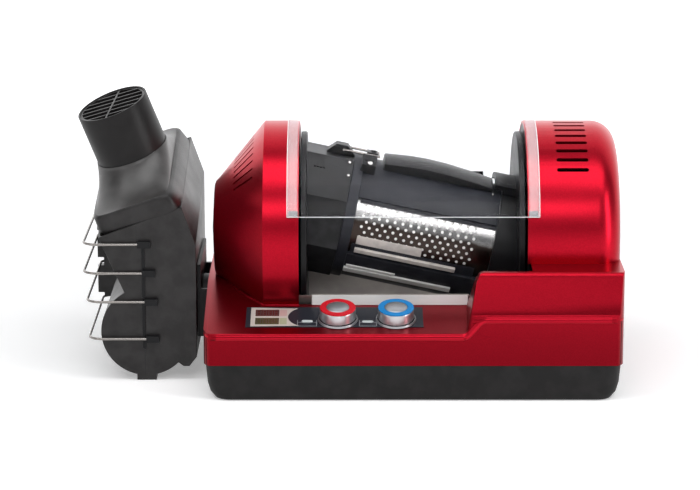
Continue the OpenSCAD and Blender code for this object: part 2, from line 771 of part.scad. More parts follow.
module drum_panels() {
    color([0.24, 0.24, 0.27]) placed() in_drum() union() {
        sector_x(drum_x0, drum_x1, drum_r, panel_r, panel_front, panel_front);
        sector_x(drum_x0, drum_x1, drum_r, panel_r, 360 - panel_low, -panel_low);
    }
}

crest_x0 = -38;
crest_x1 = drum_x1 - 9;

module drum_crest() {
    color([0.3, 0.3, 0.31]) placed() in_drum() rotate([0, 90, 0]) rotate([0, 0, 158]) rotate_extrude(angle = 44, $fn = 96)
        polygon([[panel_r, crest_x0], [crest_r - 3, crest_x0], [crest_r - 0.6, crest_x0 + 24], [crest_r, crest_x0 + 40],
            [crest_r - 0.6, crest_x0 + 58], [crest_r - 3, crest_x1 - 20], [ring_out + 2.5, crest_x1],
            [panel_r, crest_x1]]);
}

module drum_rails() {
    color([0.75, 0.72, 0.68]) placed() in_drum() for (s = [-1, 1]) {
        a = panel_low - 4.5;
        sector_x(drum_x0 + 6, drum_x1 - 10, drum_r, panel_r + 1, s * a + 2.2, -s * a + 2.2);
        b = panel_low + 24;
        sector_x(drum_x0, drum_x1 - 16, panel_r, panel_r + 1.2, s * b + 4, -s * b + 4);
    }
}

post_x = drum_x0 + 6;                      // middle of the latch post
latch_x = drum_x0 - ring_w - 11;           // the latch's hinge line
latch_r = 61;
latch_ear_y = 9;
wire_r = 1.1;
knob_half = 7.5;                           // half width of the eight-sided knob that it turns in

module latch_post() {
    color([0.08, 0.08, 0.08]) placed() in_drum() difference() {
        union() {
            translate([post_x - 5, -7, panel_r - 1]) cube([10, 14, 8]);
            translate([post_x + 1, 0, panel_r + 6]) cylinder(h = 2.4, r = 2.6);
        }
        translate([post_x - 10, 0, 0]) rotate([0, 90, 0]) cylinder(h = 20, r = panel_r, $fn = 96);
    }
}

module drum_latch() {
    color([0.8, 0.8, 0.8]) placed() in_drum() translate([latch_x, 0, latch_r]) union() {
        for (s = [-1, 1]) translate([0, s * latch_ear_y, 0]) rotate([0, 90, 0])
            cylinder(h = post_x - latch_x + 6.5, r = wire_r, $fn = 24);
        for (x = [0, post_x - latch_x + 6.5]) translate([x, -latch_ear_y - wire_r, 0]) rotate([-90, 0, 0])
            cylinder(h = 2 * (latch_ear_y + wire_r), r = wire_r, $fn = 24);
    }
}

// ---- drive, fan and heat ----

motor_x = gear_x + gear_w + 4;
motor_r = 17;

module pinion() {
    n = pinion_teeth;
    color([0.85, 0.7, 0.35]) placed() union() {
        translate([gear_x, motor_y, motor_z]) rotate([90, 0, 90]) linear_extrude(gear_w)
            gear_face(n, motor_angle + 180 + 180 / n);
        translate([gear_x - 2, motor_y, motor_z]) rotate([0, 90, 0])
            cylinder(h = motor_x - gear_x + 16, r = stem_r);
    }
}

module gear_motor() {
    color([0.55, 0.55, 0.57]) placed() difference() {
        union() {
            translate([motor_x, motor_y, motor_z]) rotate([0, 90, 0]) cylinder(h = 3, r = 28);
            translate([motor_x, motor_y, motor_z]) rotate([0, 90, 0]) cylinder(h = 16, r = 22);
            translate([motor_x + 15, motor_y, motor_z]) rotate([0, 90, 0]) cylinder(h = 28, r = motor_r);
            for (a = [-14, 14]) translate([bulkhead_x + bulkhead_t, axis_y + (centre_dist + 14) * cos(motor_angle + a),
                axis_z + (centre_dist + 14) * sin(motor_angle + a)]) rotate([0, 90, 0])
                    cylinder(h = motor_x + 1 - bulkhead_x - bulkhead_t, r = 3);
        }
        translate([motor_x - 1, motor_y, motor_z]) rotate([0, 90, 0]) cylinder(h = 19, r = stem_r + run_gap);
    }
}

duct_x0 = right_hub_end + 3;
duct_x1 = half_w - wall;
duct_wall = 2;
fan_w = 12;
fan_motor_x = duct_x1 - 17;
fan_x = fan_motor_x - 5 - fan_w;
heater_x = duct_x0 + 3;
heater_len = fan_x - 6 - heater_x;

module air_duct() {
    color([0.6, 0.6, 0.62]) placed() difference() {
        union() {
            on_axis(duct_x0, duct_x1, fan_r + 1.5 + duct_wall);
            on_axis(duct_x1 - 2, duct_x1, fan_r + 10);
        }
        on_axis(duct_x0 - 1, duct_x1 + 1, fan_r + 1.5);
        for (a = [0:60:300]) translate([duct_x1 - 14, axis_y, axis_z]) rotate([a, 0, 0])
            translate([0, -9, fan_r - 3]) cube([10, 18, 12]);
    }
}

module heater_core() {
    r = fan_r + 1.45;
    color([0.75, 0.6, 0.4]) placed() union() {
        for (a = [0, 90]) translate([heater_x, axis_y, axis_z]) rotate([a + 45, 0, 0])
            translate([0, -0.75, -r]) cube([heater_len, 1.5, 2 * r]);
        for (i = [1 : 2 : 5]) translate([heater_x + heater_len * i / 6, axis_y, axis_z]) rotate([0, 90, 0])
            rotate_extrude() translate([22, 0]) circle(1, $fn = 16);
    }
}

module fan_motor() {
    color([0.3, 0.3, 0.32]) placed() difference() {
        on_axis(fan_motor_x, duct_x1, 13);
        on_axis(fan_motor_x - 1, fan_motor_x + 12, 2.5 + run_gap);
    }
}

module fan_rotor() {
    color([0.2, 0.2, 0.2]) placed() union() {
        on_axis(fan_x, fan_x + fan_w, 11);
        on_axis(fan_x, fan_motor_x + 10, 2.5);
        for (i = [0:blade_count - 1]) translate([fan_x + fan_w / 2, axis_y, axis_z]) rotate([360 * i / blade_count, 0, 0])
            rotate([0, 0, 40]) translate([-0.8, -6.5, 10]) cube([1.6, 13, fan_r - 11]);
    }
}

module exhaust_duct() {
    mouth = left_hub_end + 2;
    t = 2;
    color([0.5, 0.5, 0.52]) placed() difference() {
        union() {
            translate([-mouth, axis_y, axis_z]) rotate([0, -90, 0]) cylinder(h = 12, r1 = hub_r - 1, r2 = port_r);
            on_axis(-duct_x, -mouth - 11, port_r);
            translate([-duct_x, axis_y, port_z]) cylinder(h = axis_z - port_z, r = port_r);
            for (z = [port_z, axis_z]) translate([-duct_x, axis_y, z]) sphere(port_r);
            translate([-half_w - 4, axis_y, port_z]) rotate([0, 90, 0]) cylinder(h = half_w + 4 - duct_x, r = port_r);
        }
        translate([-mouth + 0.1, axis_y, axis_z]) rotate([0, -90, 0]) cylinder(h = 12.1, r1 = hub_r - 1 - t, r2 = port_r - t);
        on_axis(-duct_x, -mouth - 11, port_r - t);
        translate([-duct_x, axis_y, port_z]) cylinder(h = axis_z - port_z, r = port_r - t);
        for (z = [port_z, axis_z]) translate([-duct_x, axis_y, z]) sphere(port_r - t);
        translate([-half_w - 5, axis_y, port_z]) rotate([0, 90, 0]) cylinder(h = half_w + 5 - duct_x, r = port_r - t);
    }
}

dock_gap = 0.5;                            // space between the docking plate and the collector
dock_low = 38;
dock_high = 106;

module docking_bracket() {
    x0 = col_right + dock_gap;
    color([0.12, 0.12, 0.12]) placed() difference() {
        union() {
            translate([x0, axis_y - 54, dock_low]) cube([3, 108, dock_high - dock_low]);
            for (y = [axis_y - 54, axis_y + 2, axis_y + 50]) translate([x0 + 2, y, dock_low]) cube([-half_w - x0 - 2, 4, deck_top_z - dock_low - 4]);
            translate([x0, port_y, port_z]) rotate([0, 90, 0]) cylinder(h = -half_w - x0, r = port_r + 4);
        }
        translate([x0 - 1, port_y, port_z]) rotate([0, 90, 0]) cylinder(h = 40, r = port_r);
    }
}

module power_inlet() {
    d = 22;
    color([0.07, 0.07, 0.07]) placed() difference() {
        union() {
            translate([inlet_x - inlet_w / 2, rear_y - d, inlet_z - inlet_h / 2]) cube([inlet_w, d, inlet_h]);
            translate([inlet_x - inlet_w / 2 - 3, rear_y, inlet_z - inlet_h / 2 - 3]) cube([inlet_w + 6, 2, inlet_h + 6]);
        }
        translate([inlet_x - 12, rear_y - 17, inlet_z - 8]) cube([24, 20, 16]);
    }
}

module power_board() {
    z = foot_h + wall;
    color([0.1, 0.4, 0.25]) placed() union() {
        translate([-70, front_y + 50, z + 5]) cube([190, 100, 1.6]);
        for (x = [-64, 114], y = [56, 144]) translate([x, front_y + y, z]) cylinder(h = 5.5, r = 3);
        translate([-55, front_y + 60, z + 6.5]) cube([34, 28, 9]);
        translate([60, front_y + 58, z + 6.5]) cube([30, 40, 9]);
        for (x = [-8, 8, 24]) translate([x, front_y + 70, z + 6.5]) cylinder(h = 9, r = 6);
    }
}

// ---- chaff collector ----

seam_left = -42;
seam_right = 40;
seam_gap = 0.4;

// Children drawn in the cap's frame: its XY plane is the sloping seam.
module in_cap() {
    translate([cap_x, cap_y, cap_z]) rotate([cap_tip, 0, 0]) rotate([0, -cap_lean, 0]) children();
}

module bin_section(t) {
    translate([bin_cx, bin_z]) circle(bin_r - t, $fn = 96);
    polygon([[col_right - 97.9 + 1.1 * t, 155], [col_right - 62.8 + 1.1 * t, 76], [bin_cx - 10, bin_z],
        [bin_cx + 34, 13 + t], [col_right - 7, 13 + t], [col_right - t, 22 + 0.4 * t], [col_right - t, 235]]);
}

module bin_shape(t) {
    intersection() {
        along_y(col_front + t, col_rear - t) bin_section(t);
        in_cap() translate([-200, -150, -260]) cube([200 + seam_right - t, 300, 260 + (t > 0 ? 1 : 0)]);
    }
}

module collector_bin() {
    color([0.23, 0.22, 0.22]) placed() difference() {
        union() {
            bin_shape(0);
            // feet
            for (y = [col_front, col_rear - 18]) translate([bin_cx - 9, y, 0]) cube([18, 18, 10]);
            // flat rear wall that reaches out past the sloping side
            difference() {
                translate([col_right - 104, col_rear - 10, 40]) cube([50, 10, 94]);
                for (z = guard_z) translate([col_right - 105, col_rear - 11, z - 4]) cube([7, 12, 8]);
            }
        }
        bin_shape(col_wall);
        translate([col_right - col_wall - 2, port_y, port_z]) rotate([0, 90, 0]) cylinder(h = 8, r = port_r);
    }
}

module cap_slab(x0, x1, y0, y1, z, r) {
    block_shape(x0, x1, y0, y1, z, z + 0.5, r, $fn = 32);
}

module cap_shape(t) {
    hy = col_d / 2 + 2;
    hull() {
        cap_slab(seam_left + t, seam_right - t, -hy + t, hy - t, t > 0 ? -1 : seam_gap, 6);
        cap_slab(seam_left + 3 + t, seam_right - 7 - t, -hy + 2 + t, hy - 4 - t, cap_band - t, 6);
    }
    hull() {
        cap_slab(seam_left + 3 + t, seam_right - 7 - t, -hy + 2 + t, hy - 4 - t, cap_band - t, 6);
        cap_slab(tube_x - tube_r - 3 + t, tube_x + tube_r - 1 - t, tube_y - 52 + t, tube_y + 62 - t,
            cap_band + 13 - t, 24);
    }
    hull() {
        cap_slab(tube_x - tube_r - 3 + t, tube_x + tube_r - 1 - t, tube_y - 52 + t, tube_y + 62 - t,
            cap_band + 13 - t, 24);
        translate([tube_x, tube_y, tube_foot - t]) cylinder(h = 0.5, r = tube_r + 1 - t, $fn = 48);
    }
}

module collector_cap() {
    color([0.25, 0.24, 0.24]) placed() in_cap() difference() {
        union() {
            cap_shape(0);
            translate([tube_x, tube_y, tube_foot - 1]) cylinder(h = tube_len + 1, r = tube_r, $fn = 96);
        }
        cap_shape(col_wall);
        translate([tube_x, tube_y, tube_foot - 6]) cylinder(h = tube_len + 10, r = tube_r - col_wall, $fn = 96);
    }
}

module outlet_grille() {
    r = tube_r - col_wall;
    slat_w = 1.6;
    slat_h = 5;
    pitch = 2 * r / (slat_count + 1);
    color([0.3, 0.29, 0.28]) placed() in_cap() translate([tube_x, tube_y, tube_foot + tube_len - slat_h - 1]) rotate([0, 0, -8])
        union() {
            difference() {
                cylinder(h = slat_h, r = r, $fn = 96);
                translate([0, 0, -1]) cylinder(h = slat_h + 2, r = r - 1.6, $fn = 96);
            }
            for (i = [0:slat_count - 1]) {
                y = (i - (slat_count - 1) / 2) * pitch;
                half = sqrt(r * r - pow(abs(y) + slat_w / 2, 2)) - 0.4;
                translate([-half, y - slat_w / 2, 0]) cube([2 * half, slat_w, slat_h]);
            }
            translate([-slat_w / 2, -r + 0.4, 0]) cube([slat_w, 2 * r - 0.8, slat_h]);
        }
}

module wire_elbow(x, y, z, turn, bend) {
    translate([x, y, z]) rotate([0, 0, turn]) rotate_extrude(angle = 90, $fn = 48)
        translate([bend, 0]) circle(guard_d / 2, $fn = 24);
}

module wire_guards() {
    bend = 6;
    r = guard_d / 2;
    back = col_rear - 5;
    color([0.8, 0.8, 0.8]) placed() for (i = [0:3]) {
        x = guard_left[i];
        z = guard_z[i];
        translate([x + bend, guard_y, z]) rotate([0, 90, 0]) cylinder(h = guard_clip_x[i] - x - bend, r = r, $fn = 24);
        wire_elbow(x + bend, guard_y + bend, z, 180, bend);
        translate([x, guard_y + bend, z]) rotate([-90, 0, 0]) cylinder(h = back - guard_y - 2 * bend, r = r, $fn = 24);
        wire_elbow(x + bend, back - bend, z, 90, bend);
        translate([x + bend, back, z]) rotate([0, 90, 0]) cylinder(h = 3, r = r, $fn = 24);
    }
}

module guard_clips() {
    color([0.12, 0.12, 0.12]) placed() for (i = [0:3]) difference() {
        translate([guard_clip_x[i] - 6, guard_y - 2.4, guard_z[i] - 3]) cube([12, col_front - guard_y + 2.4, 6]);
        translate([guard_clip_x[i] - 7, guard_y, guard_z[i]]) rotate([0, 90, 0]) cylinder(h = 7, r = guard_d / 2, $fn = 24);
    }
}

base_pan();
rubber_feet();
housing();
left_tower();
right_tower();
rear_panel();
left_bulkhead();
right_bulkhead();
hub_bushes();
floor_trough();
control_label();
knob_bezels();
control_board();
indicator_lamp();
power_key();
temperature_stem();
temperature_knob();
time_stem();
time_knob();
clear_cover();
cover_bumpers();
cover_hinge_arms();
hinge_pins();
left_drive_disc();
right_drive_disc();
drive_gear();
drum_mesh();
drum_left_ring();
drum_socket();
drum_right_cap();
drum_panels();
drum_crest();
drum_rails();
latch_post();
drum_latch();
gear_motor();
pinion();
air_duct();
heater_core();
fan_motor();
fan_rotor();
exhaust_duct();
docking_bracket();
power_inlet();
power_board();
collector_bin();
collector_cap();
outlet_grille();
wire_guards();
guard_clips();
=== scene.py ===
# %% [markdown]
# # A home coffee bean roaster
# This lesson dresses a finished CAD model of a countertop roaster. A steel drum hangs
# askew between two round drive discs, so that the beans tumble from end to end as it
# turns. Two red arches hold the drive, a clear cover closes the middle, and a charcoal
# collector on the left catches the chaff. The CAD model fixes every size and place.
# Here each surface gets its finish, and what is too fine for CAD is added on top.

# %% Load the fixed frame
import json
import math

import bmesh
import bpy
from mathutils import Matrix, Vector

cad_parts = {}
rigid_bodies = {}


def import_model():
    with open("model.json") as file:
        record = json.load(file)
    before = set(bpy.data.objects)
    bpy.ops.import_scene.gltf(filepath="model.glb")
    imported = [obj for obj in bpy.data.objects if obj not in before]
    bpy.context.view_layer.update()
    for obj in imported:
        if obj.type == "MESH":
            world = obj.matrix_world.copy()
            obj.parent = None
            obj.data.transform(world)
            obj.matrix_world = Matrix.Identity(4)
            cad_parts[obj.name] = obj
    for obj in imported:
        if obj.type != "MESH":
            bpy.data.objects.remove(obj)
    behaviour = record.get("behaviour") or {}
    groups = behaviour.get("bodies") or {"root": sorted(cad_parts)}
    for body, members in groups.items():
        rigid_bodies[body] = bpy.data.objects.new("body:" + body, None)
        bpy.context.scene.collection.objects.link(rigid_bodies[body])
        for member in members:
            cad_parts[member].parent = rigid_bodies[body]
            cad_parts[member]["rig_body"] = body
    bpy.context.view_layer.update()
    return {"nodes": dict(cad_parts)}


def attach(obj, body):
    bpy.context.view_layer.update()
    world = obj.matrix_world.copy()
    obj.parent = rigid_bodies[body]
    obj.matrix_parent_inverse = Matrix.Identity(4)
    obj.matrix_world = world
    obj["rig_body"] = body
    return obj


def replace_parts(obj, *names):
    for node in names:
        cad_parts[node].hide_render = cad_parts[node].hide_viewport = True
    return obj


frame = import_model()
scene = bpy.context.scene

# %% [markdown]
# ## Places
# The drawing's sizes are millimetres from the middle of the base, while the frame's
# origin is under the middle of the whole roaster. One matrix turns the first into the
# second. The deck, the drum and the collector's cap are tilted, so each has a matrix
# of its own, and a piece can be written flat and then be put in its place.

# %% Places: base, deck, drum and cap
ORIGIN_X, ORIGIN_Y = -59.988, 5.0
TO_FRAME = Matrix.Scale(0.001, 4) @ Matrix.Translation((-ORIGIN_X, -ORIGIN_Y, 0))
AXIS_Y, AXIS_Z = 20.0, 129.0
DECK_SLOPE, DRUM_TILT = math.radians(13.5), math.radians(12)


def deck_z(y):
    return 62 + (y + 120) * math.tan(DECK_SLOPE)


def on_deck(x, y):
    return Matrix.Translation((x, y, deck_z(y))) @ Matrix.Rotation(DECK_SLOPE, 4, "X")


ON_AXIS = Matrix.Translation((0, AXIS_Y, AXIS_Z))
IN_DRUM = ON_AXIS @ Matrix.Rotation(DRUM_TILT, 4, "Y")
IN_CAP = (Matrix.Translation((-248, 36, 166)) @ Matrix.Rotation(math.radians(11.5), 4, "X")
          @ Matrix.Rotation(math.radians(-20), 4, "Y"))
print("deck height under the knobs:", round(deck_z(-92), 1), "mm")

# %% [markdown]
# ## The camera
# The photograph looks down on the roaster by about 13 degrees, from far away, so that
# upright edges stay nearly parallel. A long lens at 2.6 metres gives that look.

# %% Camera
EYE, PITCH, SENSOR, LENS = (-57, -2531.3, 710.3), math.radians(76.8), 36, 143.74
camera = bpy.data.objects.new("camera", bpy.data.cameras.new("camera"))
scene.collection.objects.link(camera)
camera.location = TO_FRAME @ Vector(EYE)
camera.rotation_euler = (PITCH, 0, 0)
camera.data.sensor_width, camera.data.lens = SENSOR, LENS
camera.data.clip_start, camera.data.clip_end = 0.1, 40
scene.camera = camera
print("camera", [round(v, 3) for v in camera.location])

# %% [markdown]
# ## Small helpers for node trees
# Materials, the room and the trees that grow geometry are all made of nodes. One short
# function adds a node, sets its inputs or links them, and hands back its outputs, so
# that a tree reads like a formula.

# %% Helpers for nodes
def add_node(tree, kind, sockets=None, **settings):
    """Adds a node. Its inputs are named or numbered, and take a value or another socket."""
    made = tree.nodes.new(kind)
    for key, value in settings.items():
        setattr(made, key, value)
    for key, value in (sockets or {}).items():
        if isinstance(value, bpy.types.NodeSocket):
            tree.links.new(value, made.inputs[key])
        else:
            made.inputs[key].default_value = value
    return made.outputs


def sums(tree, operation, *values):
    """One Math node, or one Vector Math node where the operation starts with V."""
    if operation.startswith("V"):
        return add_node(tree, "ShaderNodeVectorMath", dict(enumerate(values)), operation=operation[1:])[0]
    return add_node(tree, "ShaderNodeMath", dict(enumerate(values)), operation=operation)[0]


def ranged(tree, value, source, target=(0, 1), **settings):
    """Maps a value from one range to another, and holds it at both ends."""
    names = ("Value", "From Min", "From Max", "To Min", "To Max")
    return add_node(tree, "ShaderNodeMapRange", dict(zip(names, (value, *source, *target))), **settings)["Result"]


# %% [markdown]
# ## Floor, backdrop and lamps
# A product photograph has a white ground that fades away under the object. The floor
# here is pale and catches a soft shadow. A little light of its own, which only eyes,
# mirrors and glass see, lifts it to white. That light is weaker near the object, so it
# paints shade on the floor round the object and in the paint's reflections of it, on top
# of the real shadow. The backdrop has one side only, so that the roaster can be looked
# at from behind too. The eye sees a white room past both of them.
#
# The lamps are wide panels: one above, one in front, and one upright panel on each
# side, whose long reflections draw the shape of the red arches. To the paint the rest
# of the room is dim, which keeps its depth.

# %% Stage
SHEET_COLOUR, ROOM_TINT, WHITE = (0.9, 0.9, 0.9, 1), (0.9, 0.93, 1, 1), (1, 1, 1, 1)
ROOM_GLOW, HORIZON = 0.16, 0.12
PAINTED_SHADE_FADE = (0.3, 1.9)


def new_material(name):
    mat = bpy.data.materials.new(name)
    mat.use_nodes = True
    return mat, mat.node_tree, mat.node_tree.nodes["Principled BSDF"]


def seen_only(tree):
    """A value of 1 for what eyes, mirrors and glass see, and 0 for the light on the object."""
    ray = add_node(tree, "ShaderNodeLightPath")
    seen = sums(tree, "MAXIMUM", ray["Is Camera Ray"], ray["Is Glossy Ray"])
    return sums(tree, "MAXIMUM", seen, ray["Is Transmission Ray"])


def flat_sheet(name, corners, glow, near=None):
    """A sheet of the stage. With near given, its glow falls to that value by the object, which paints shade round
    it.
    """
    mesh = bpy.data.meshes.new(name)
    mesh.from_pydata(corners, [], [tuple(range(len(corners)))])
    sheet = bpy.data.objects.new(name, mesh)
    scene.collection.objects.link(sheet)
    mat, tree, shader = new_material(name)
    for socket, value in (("Base Color", SHEET_COLOUR), ("Roughness", 0.9), ("Specular IOR Level", 0.1),
                          ("Emission Color", WHITE)):
        shader.inputs[socket].default_value = value
    strength = glow
    if near is not None:
        away = add_node(tree, "ShaderNodeVectorMath", {0: add_node(tree, "ShaderNodeTexCoord")["Object"]},
                        operation="LENGTH")["Value"]
        strength = ranged(tree, away, PAINTED_SHADE_FADE, (near, glow))
    tree.links.new(sums(tree, "MULTIPLY", seen_only(tree), strength), shader.inputs["Emission Strength"])
    mesh.materials.append(mat)
    return tree


# Painted shade: the floor's glow is weaker near the object.
flat_sheet("floor", [(-6, -6, 0), (6, -6, 0), (6, 6, 0), (-6, 6, 0)], 0.95, near=0.32)
tree = flat_sheet("backdrop", [(-5, 1.3, 0), (5, 1.3, 0), (5, 1.3, 5), (-5, 1.3, 5)], 1.0)
one_sided = add_node(tree, "ShaderNodeMixShader", {
    0: add_node(tree, "ShaderNodeNewGeometry")["Backfacing"], 1: tree.nodes["Principled BSDF"].outputs[0],
    2: add_node(tree, "ShaderNodeBsdfTransparent")[0]})[0]
tree.links.new(one_sided, tree.nodes["Material Output"].inputs["Surface"])

# %% The room
world = bpy.data.worlds.new("room")
scene.world = world
world.use_nodes = True
tree = world.node_tree
dim_room = tree.nodes["Background"]
dim_room.inputs["Color"].default_value = ROOM_TINT
dim_room.inputs["Strength"].default_value = ROOM_GLOW
# The eye and clear pieces see white all round. Mirrors see white near the horizon only.
ray = add_node(tree, "ShaderNodeLightPath")
direction = add_node(tree, "ShaderNodeTexCoord")["Generated"]
low = sums(tree, "LESS_THAN", add_node(tree, "ShaderNodeSeparateXYZ", {0: direction})["Z"], HORIZON)
mirrored = sums(tree, "MULTIPLY", low, ray["Is Glossy Ray"])
seen = sums(tree, "MAXIMUM", ray["Is Camera Ray"], ray["Is Transmission Ray"])
white_room = add_node(tree, "ShaderNodeBackground", {"Color": WHITE})[0]
room = add_node(tree, "ShaderNodeMixShader", {0: sums(tree, "MAXIMUM", seen, mirrored), 1: dim_room.outputs[0],
                                              2: white_room})[0]
tree.links.new(room, tree.nodes["World Output"].inputs["Surface"])
scene.view_settings.view_transform = "Standard"


# %% Lamps
def panel(name, place, aim, size, power):
    lamp = bpy.data.lights.new(name, "AREA")
    lamp.shape = "RECTANGLE"
    lamp.size, lamp.size_y = size
    lamp.energy = power
    holder = bpy.data.objects.new(name, lamp)
    scene.collection.objects.link(holder)
    holder.location = place
    holder.rotation_euler = (Vector(aim) - Vector(place)).to_track_quat("-Z", "Y").to_euler()


panel("lamp_above", (-0.05, -0.4, 1.35), (0, 0, 0.1), (2.2, 0.7), 14)
panel("lamp_right", (1.2, -0.7, 0.5), (0.1, 0, 0.12), (0.3, 0.9), 6)
panel("lamp_left", (-1.3, -1.1, 0.7), (-0.1, 0, 0.12), (0.3, 0.8), 2.5)
panel("lamp_front", (0.1, -2.3, 1.6), (0, 0, 0.1), (1.7, 0.6), 13.5)

# %% [markdown]
# ## Finishes
# Each finish is a small node tree. All of them share the same plan: one Principled
# shader, a fine noise that makes the gloss uneven, and a bump that gives the surface
# its grain. The patterns read Object coordinates, which are metres in this file, so a
# grain of 0.4 mm is 0.4 mm on every piece.

# %% Helpers for finishes
GLOSS_CLOUDS, COLOUR_DETAIL, CLOUD_EDGES = 40, 4, (0.4, 0.6)


def finish(name, colour, rough, metal=0.0, grain=0.5, bump=0.1, uneven=0.08, **sockets):
    """A finish with a noise grain of the given size in millimetres."""
    mat, tree, shader = new_material(name)
    for socket, value in {"Base_Color": (*colour, 1), "Metallic": metal, **sockets}.items():
        shader.inputs[socket.replace("_", " ")].default_value = value
    place = add_node(tree, "ShaderNodeTexCoord")["Object"]
    cloud = add_node(tree, "ShaderNodeTexNoise", {"Vector": place, "Scale": GLOSS_CLOUDS})["Fac"]
    gloss = ranged(tree, cloud, (0, 1), (max(0.02, rough - uneven), rough + uneven))
    tree.links.new(gloss, shader.inputs["Roughness"])
    if bump:
        noise = add_node(tree, "ShaderNodeTexNoise", {"Vector": place, "Scale": 1000 / grain, "Detail": 3})["Fac"]
        skin = add_node(tree, "ShaderNodeBump", {"Height": noise, "Strength": bump, "Distance": grain / 4000})[0]
        tree.links.new(skin, shader.inputs["Normal"])
    return mat


def place_of(tree):
    """The Object coordinates that a finish already reads."""
    return next(n for n in tree.nodes if n.type == "TEX_COORD").outputs["Object"]


def blended(mat, other, share):
    """Mixes a second colour into a finish, by a socket that runs from 0 to 1."""
    colour = mat.node_tree.nodes["Principled BSDF"].inputs["Base Color"]
    mix = add_node(mat.node_tree, "ShaderNodeMix", {"Factor": share, "A": colour.default_value, "B": (*other, 1)},
                   data_type="RGBA")["Result"]
    mat.node_tree.links.new(mix, colour)
    return mat


def varied(mat, other, scale):
    """Mixes a second colour into a finish, in soft clouds of the given scale."""
    tree = mat.node_tree
    cloud = add_node(tree, "ShaderNodeTexNoise", {"Vector": place_of(tree), "Scale": scale,
                                                  "Detail": COLOUR_DETAIL})["Fac"]
    return blended(mat, other, ranged(tree, cloud, CLOUD_EDGES))


def painted_shade_below(mat, heights, share):
    """Paints shade: multiplies a finish's colour by share below one height, rising to 1 at another."""
    tree = mat.node_tree
    socket = tree.nodes["Principled BSDF"].inputs["Base Color"]
    height = add_node(tree, "ShaderNodeSeparateXYZ", {0: place_of(tree)})["Z"]
    rise = ranged(tree, height, heights, (share, 1), interpolation_type="SMOOTHSTEP")
    dimmed = add_node(tree, "ShaderNodeVectorMath", {0: socket.links[0].from_socket, "Scale": rise},
                      operation="SCALE")["Vector"]
    tree.links.new(dimmed, socket)


# %% [markdown]
# ## The paint and the other finishes
# One step multiplies the red by height, so that it grows darker towards the foot: this is
# painted shade. The lip along the deck gets a copy of the paint that isn't darkened, a
# painted highlight that shows as a bright line.

# %% The finishes
LACQUER = {"metal": 0.86, "grain": 0.25, "bump": 0.05, "uneven": 0.03, "Specular_IOR_Level": 0.2}
DULL = {"Specular_IOR_Level": 0.22}
PAINTED_SHADE_RISE, PAINTED_SHADE_SHARE = (0.03, 0.16), 0.44
red_paint = varied(finish("red_paint", (0.5, 0.006, 0.021), 0.3, **LACQUER), (0.43, 0.0045, 0.017), 900)
# Painted highlight: the lip's copy of the paint is not darkened towards the foot.
lip_highlight_paint = finish("lip_highlight_paint", (0.5, 0.008, 0.024), 0.3, **LACQUER)
# Painted shade: the red paint is darkened towards the foot.
painted_shade_below(red_paint, PAINTED_SHADE_RISE, PAINTED_SHADE_SHARE)
black_base = varied(finish("black_base", (0.009, 0.0085, 0.0085), 0.5, grain=0.6, bump=0.35, **DULL),
                    (0.015, 0.014, 0.014), 60)
black_plastic = finish("black_plastic", (0.007, 0.007, 0.008), 0.38, grain=0.8, bump=0.15, **DULL)
socket_plastic = varied(finish("socket_plastic", (0.010, 0.010, 0.0105), 0.42, grain=0.7, bump=0.25, **DULL),
                        (0.02, 0.02, 0.022), 80)
drum_plastic = varied(finish("drum_plastic", (0.014, 0.015, 0.02), 0.38, grain=0.7, bump=0.2, **DULL),
                      (0.021, 0.022, 0.028), 80)
foot_rubber = finish("foot_rubber", (0.015, 0.015, 0.015), 0.75, grain=1.0, bump=0.3)
grey_rubber = varied(finish("grey_rubber", (0.16, 0.16, 0.17), 0.6, grain=0.8, bump=0.3), (0.2, 0.2, 0.21), 120)
shaft_steel = finish("shaft_steel", (0.55, 0.55, 0.56), 0.3, metal=1.0, grain=0.5)
guard_steel = finish("guard_steel", (0.3, 0.28, 0.265), 0.24, metal=1.0, grain=0.8, bump=0.03, uneven=0.04)
bright_chrome = finish("bright_chrome", (0.6, 0.58, 0.56), 0.18, metal=1.0, grain=0.8, bump=0.03, uneven=0.04)
collector_plastic = varied(finish("collector_plastic", (0.014, 0.0125, 0.0125), 0.36, grain=0.9, bump=0.3,
                                  Specular_IOR_Level=0.34), (0.026, 0.024, 0.024), 55)
# Painted light: the neck's charcoal is lighter than the bin's, for the light it catches.
collector_lit_satin = varied(finish("collector_lit_satin", (0.04, 0.038, 0.037), 0.36, grain=0.8, bump=0.25,
                                Specular_IOR_Level=0.6), (0.055, 0.052, 0.051), 55)
tube_dark = varied(finish("tube_dark", (0.01, 0.009, 0.009), 0.4, bump=0.1, **DULL), (0.014, 0.013, 0.013), 40)
label_film = finish("label_film", (0.02, 0.022, 0.03), 0.35, grain=0.4, bump=0.04, **DULL)
lamp_lens = finish("lamp_lens", (0.7, 0.76, 0.76), 0.25, bump=0.05, Transmission_Weight=0.2)
gear_polymer = finish("gear_polymer", (0.6, 0.56, 0.42), 0.5)
pinion_brass = finish("pinion_brass", (0.75, 0.55, 0.25), 0.28, metal=1.0)
duct_steel = finish("duct_steel", (0.5, 0.5, 0.52), 0.35, metal=1.0, grain=1.2)
heater_mica = varied(finish("heater_mica", (0.5, 0.4, 0.25), 0.5), (0.35, 0.26, 0.15), 300)
circuit_board = varied(finish("circuit_board", (0.02, 0.12, 0.06), 0.4), (0.03, 0.16, 0.08), 200)
print("finishes:", len(bpy.data.materials))

# %% [markdown]
# ## Two ways to make a piece
# Many CAD parts already have the right form, and only their hard edges give them away.
# So the first helper takes a copy of such a part, welds its loose triangles, merges the
# flat ones, and rounds the edges with a Bevel modifier. A round edge catches the light
# as a thin line, which is what tells the eye that a part is real and moulded. The
# second helper takes new points in millimetres and puts them in their place.

# %% Helpers for pieces
SHARP, FLAT, BEVEL_STEPS = 32, 0.4, 2


def body_of(node):
    return frame["nodes"][node]["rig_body"]


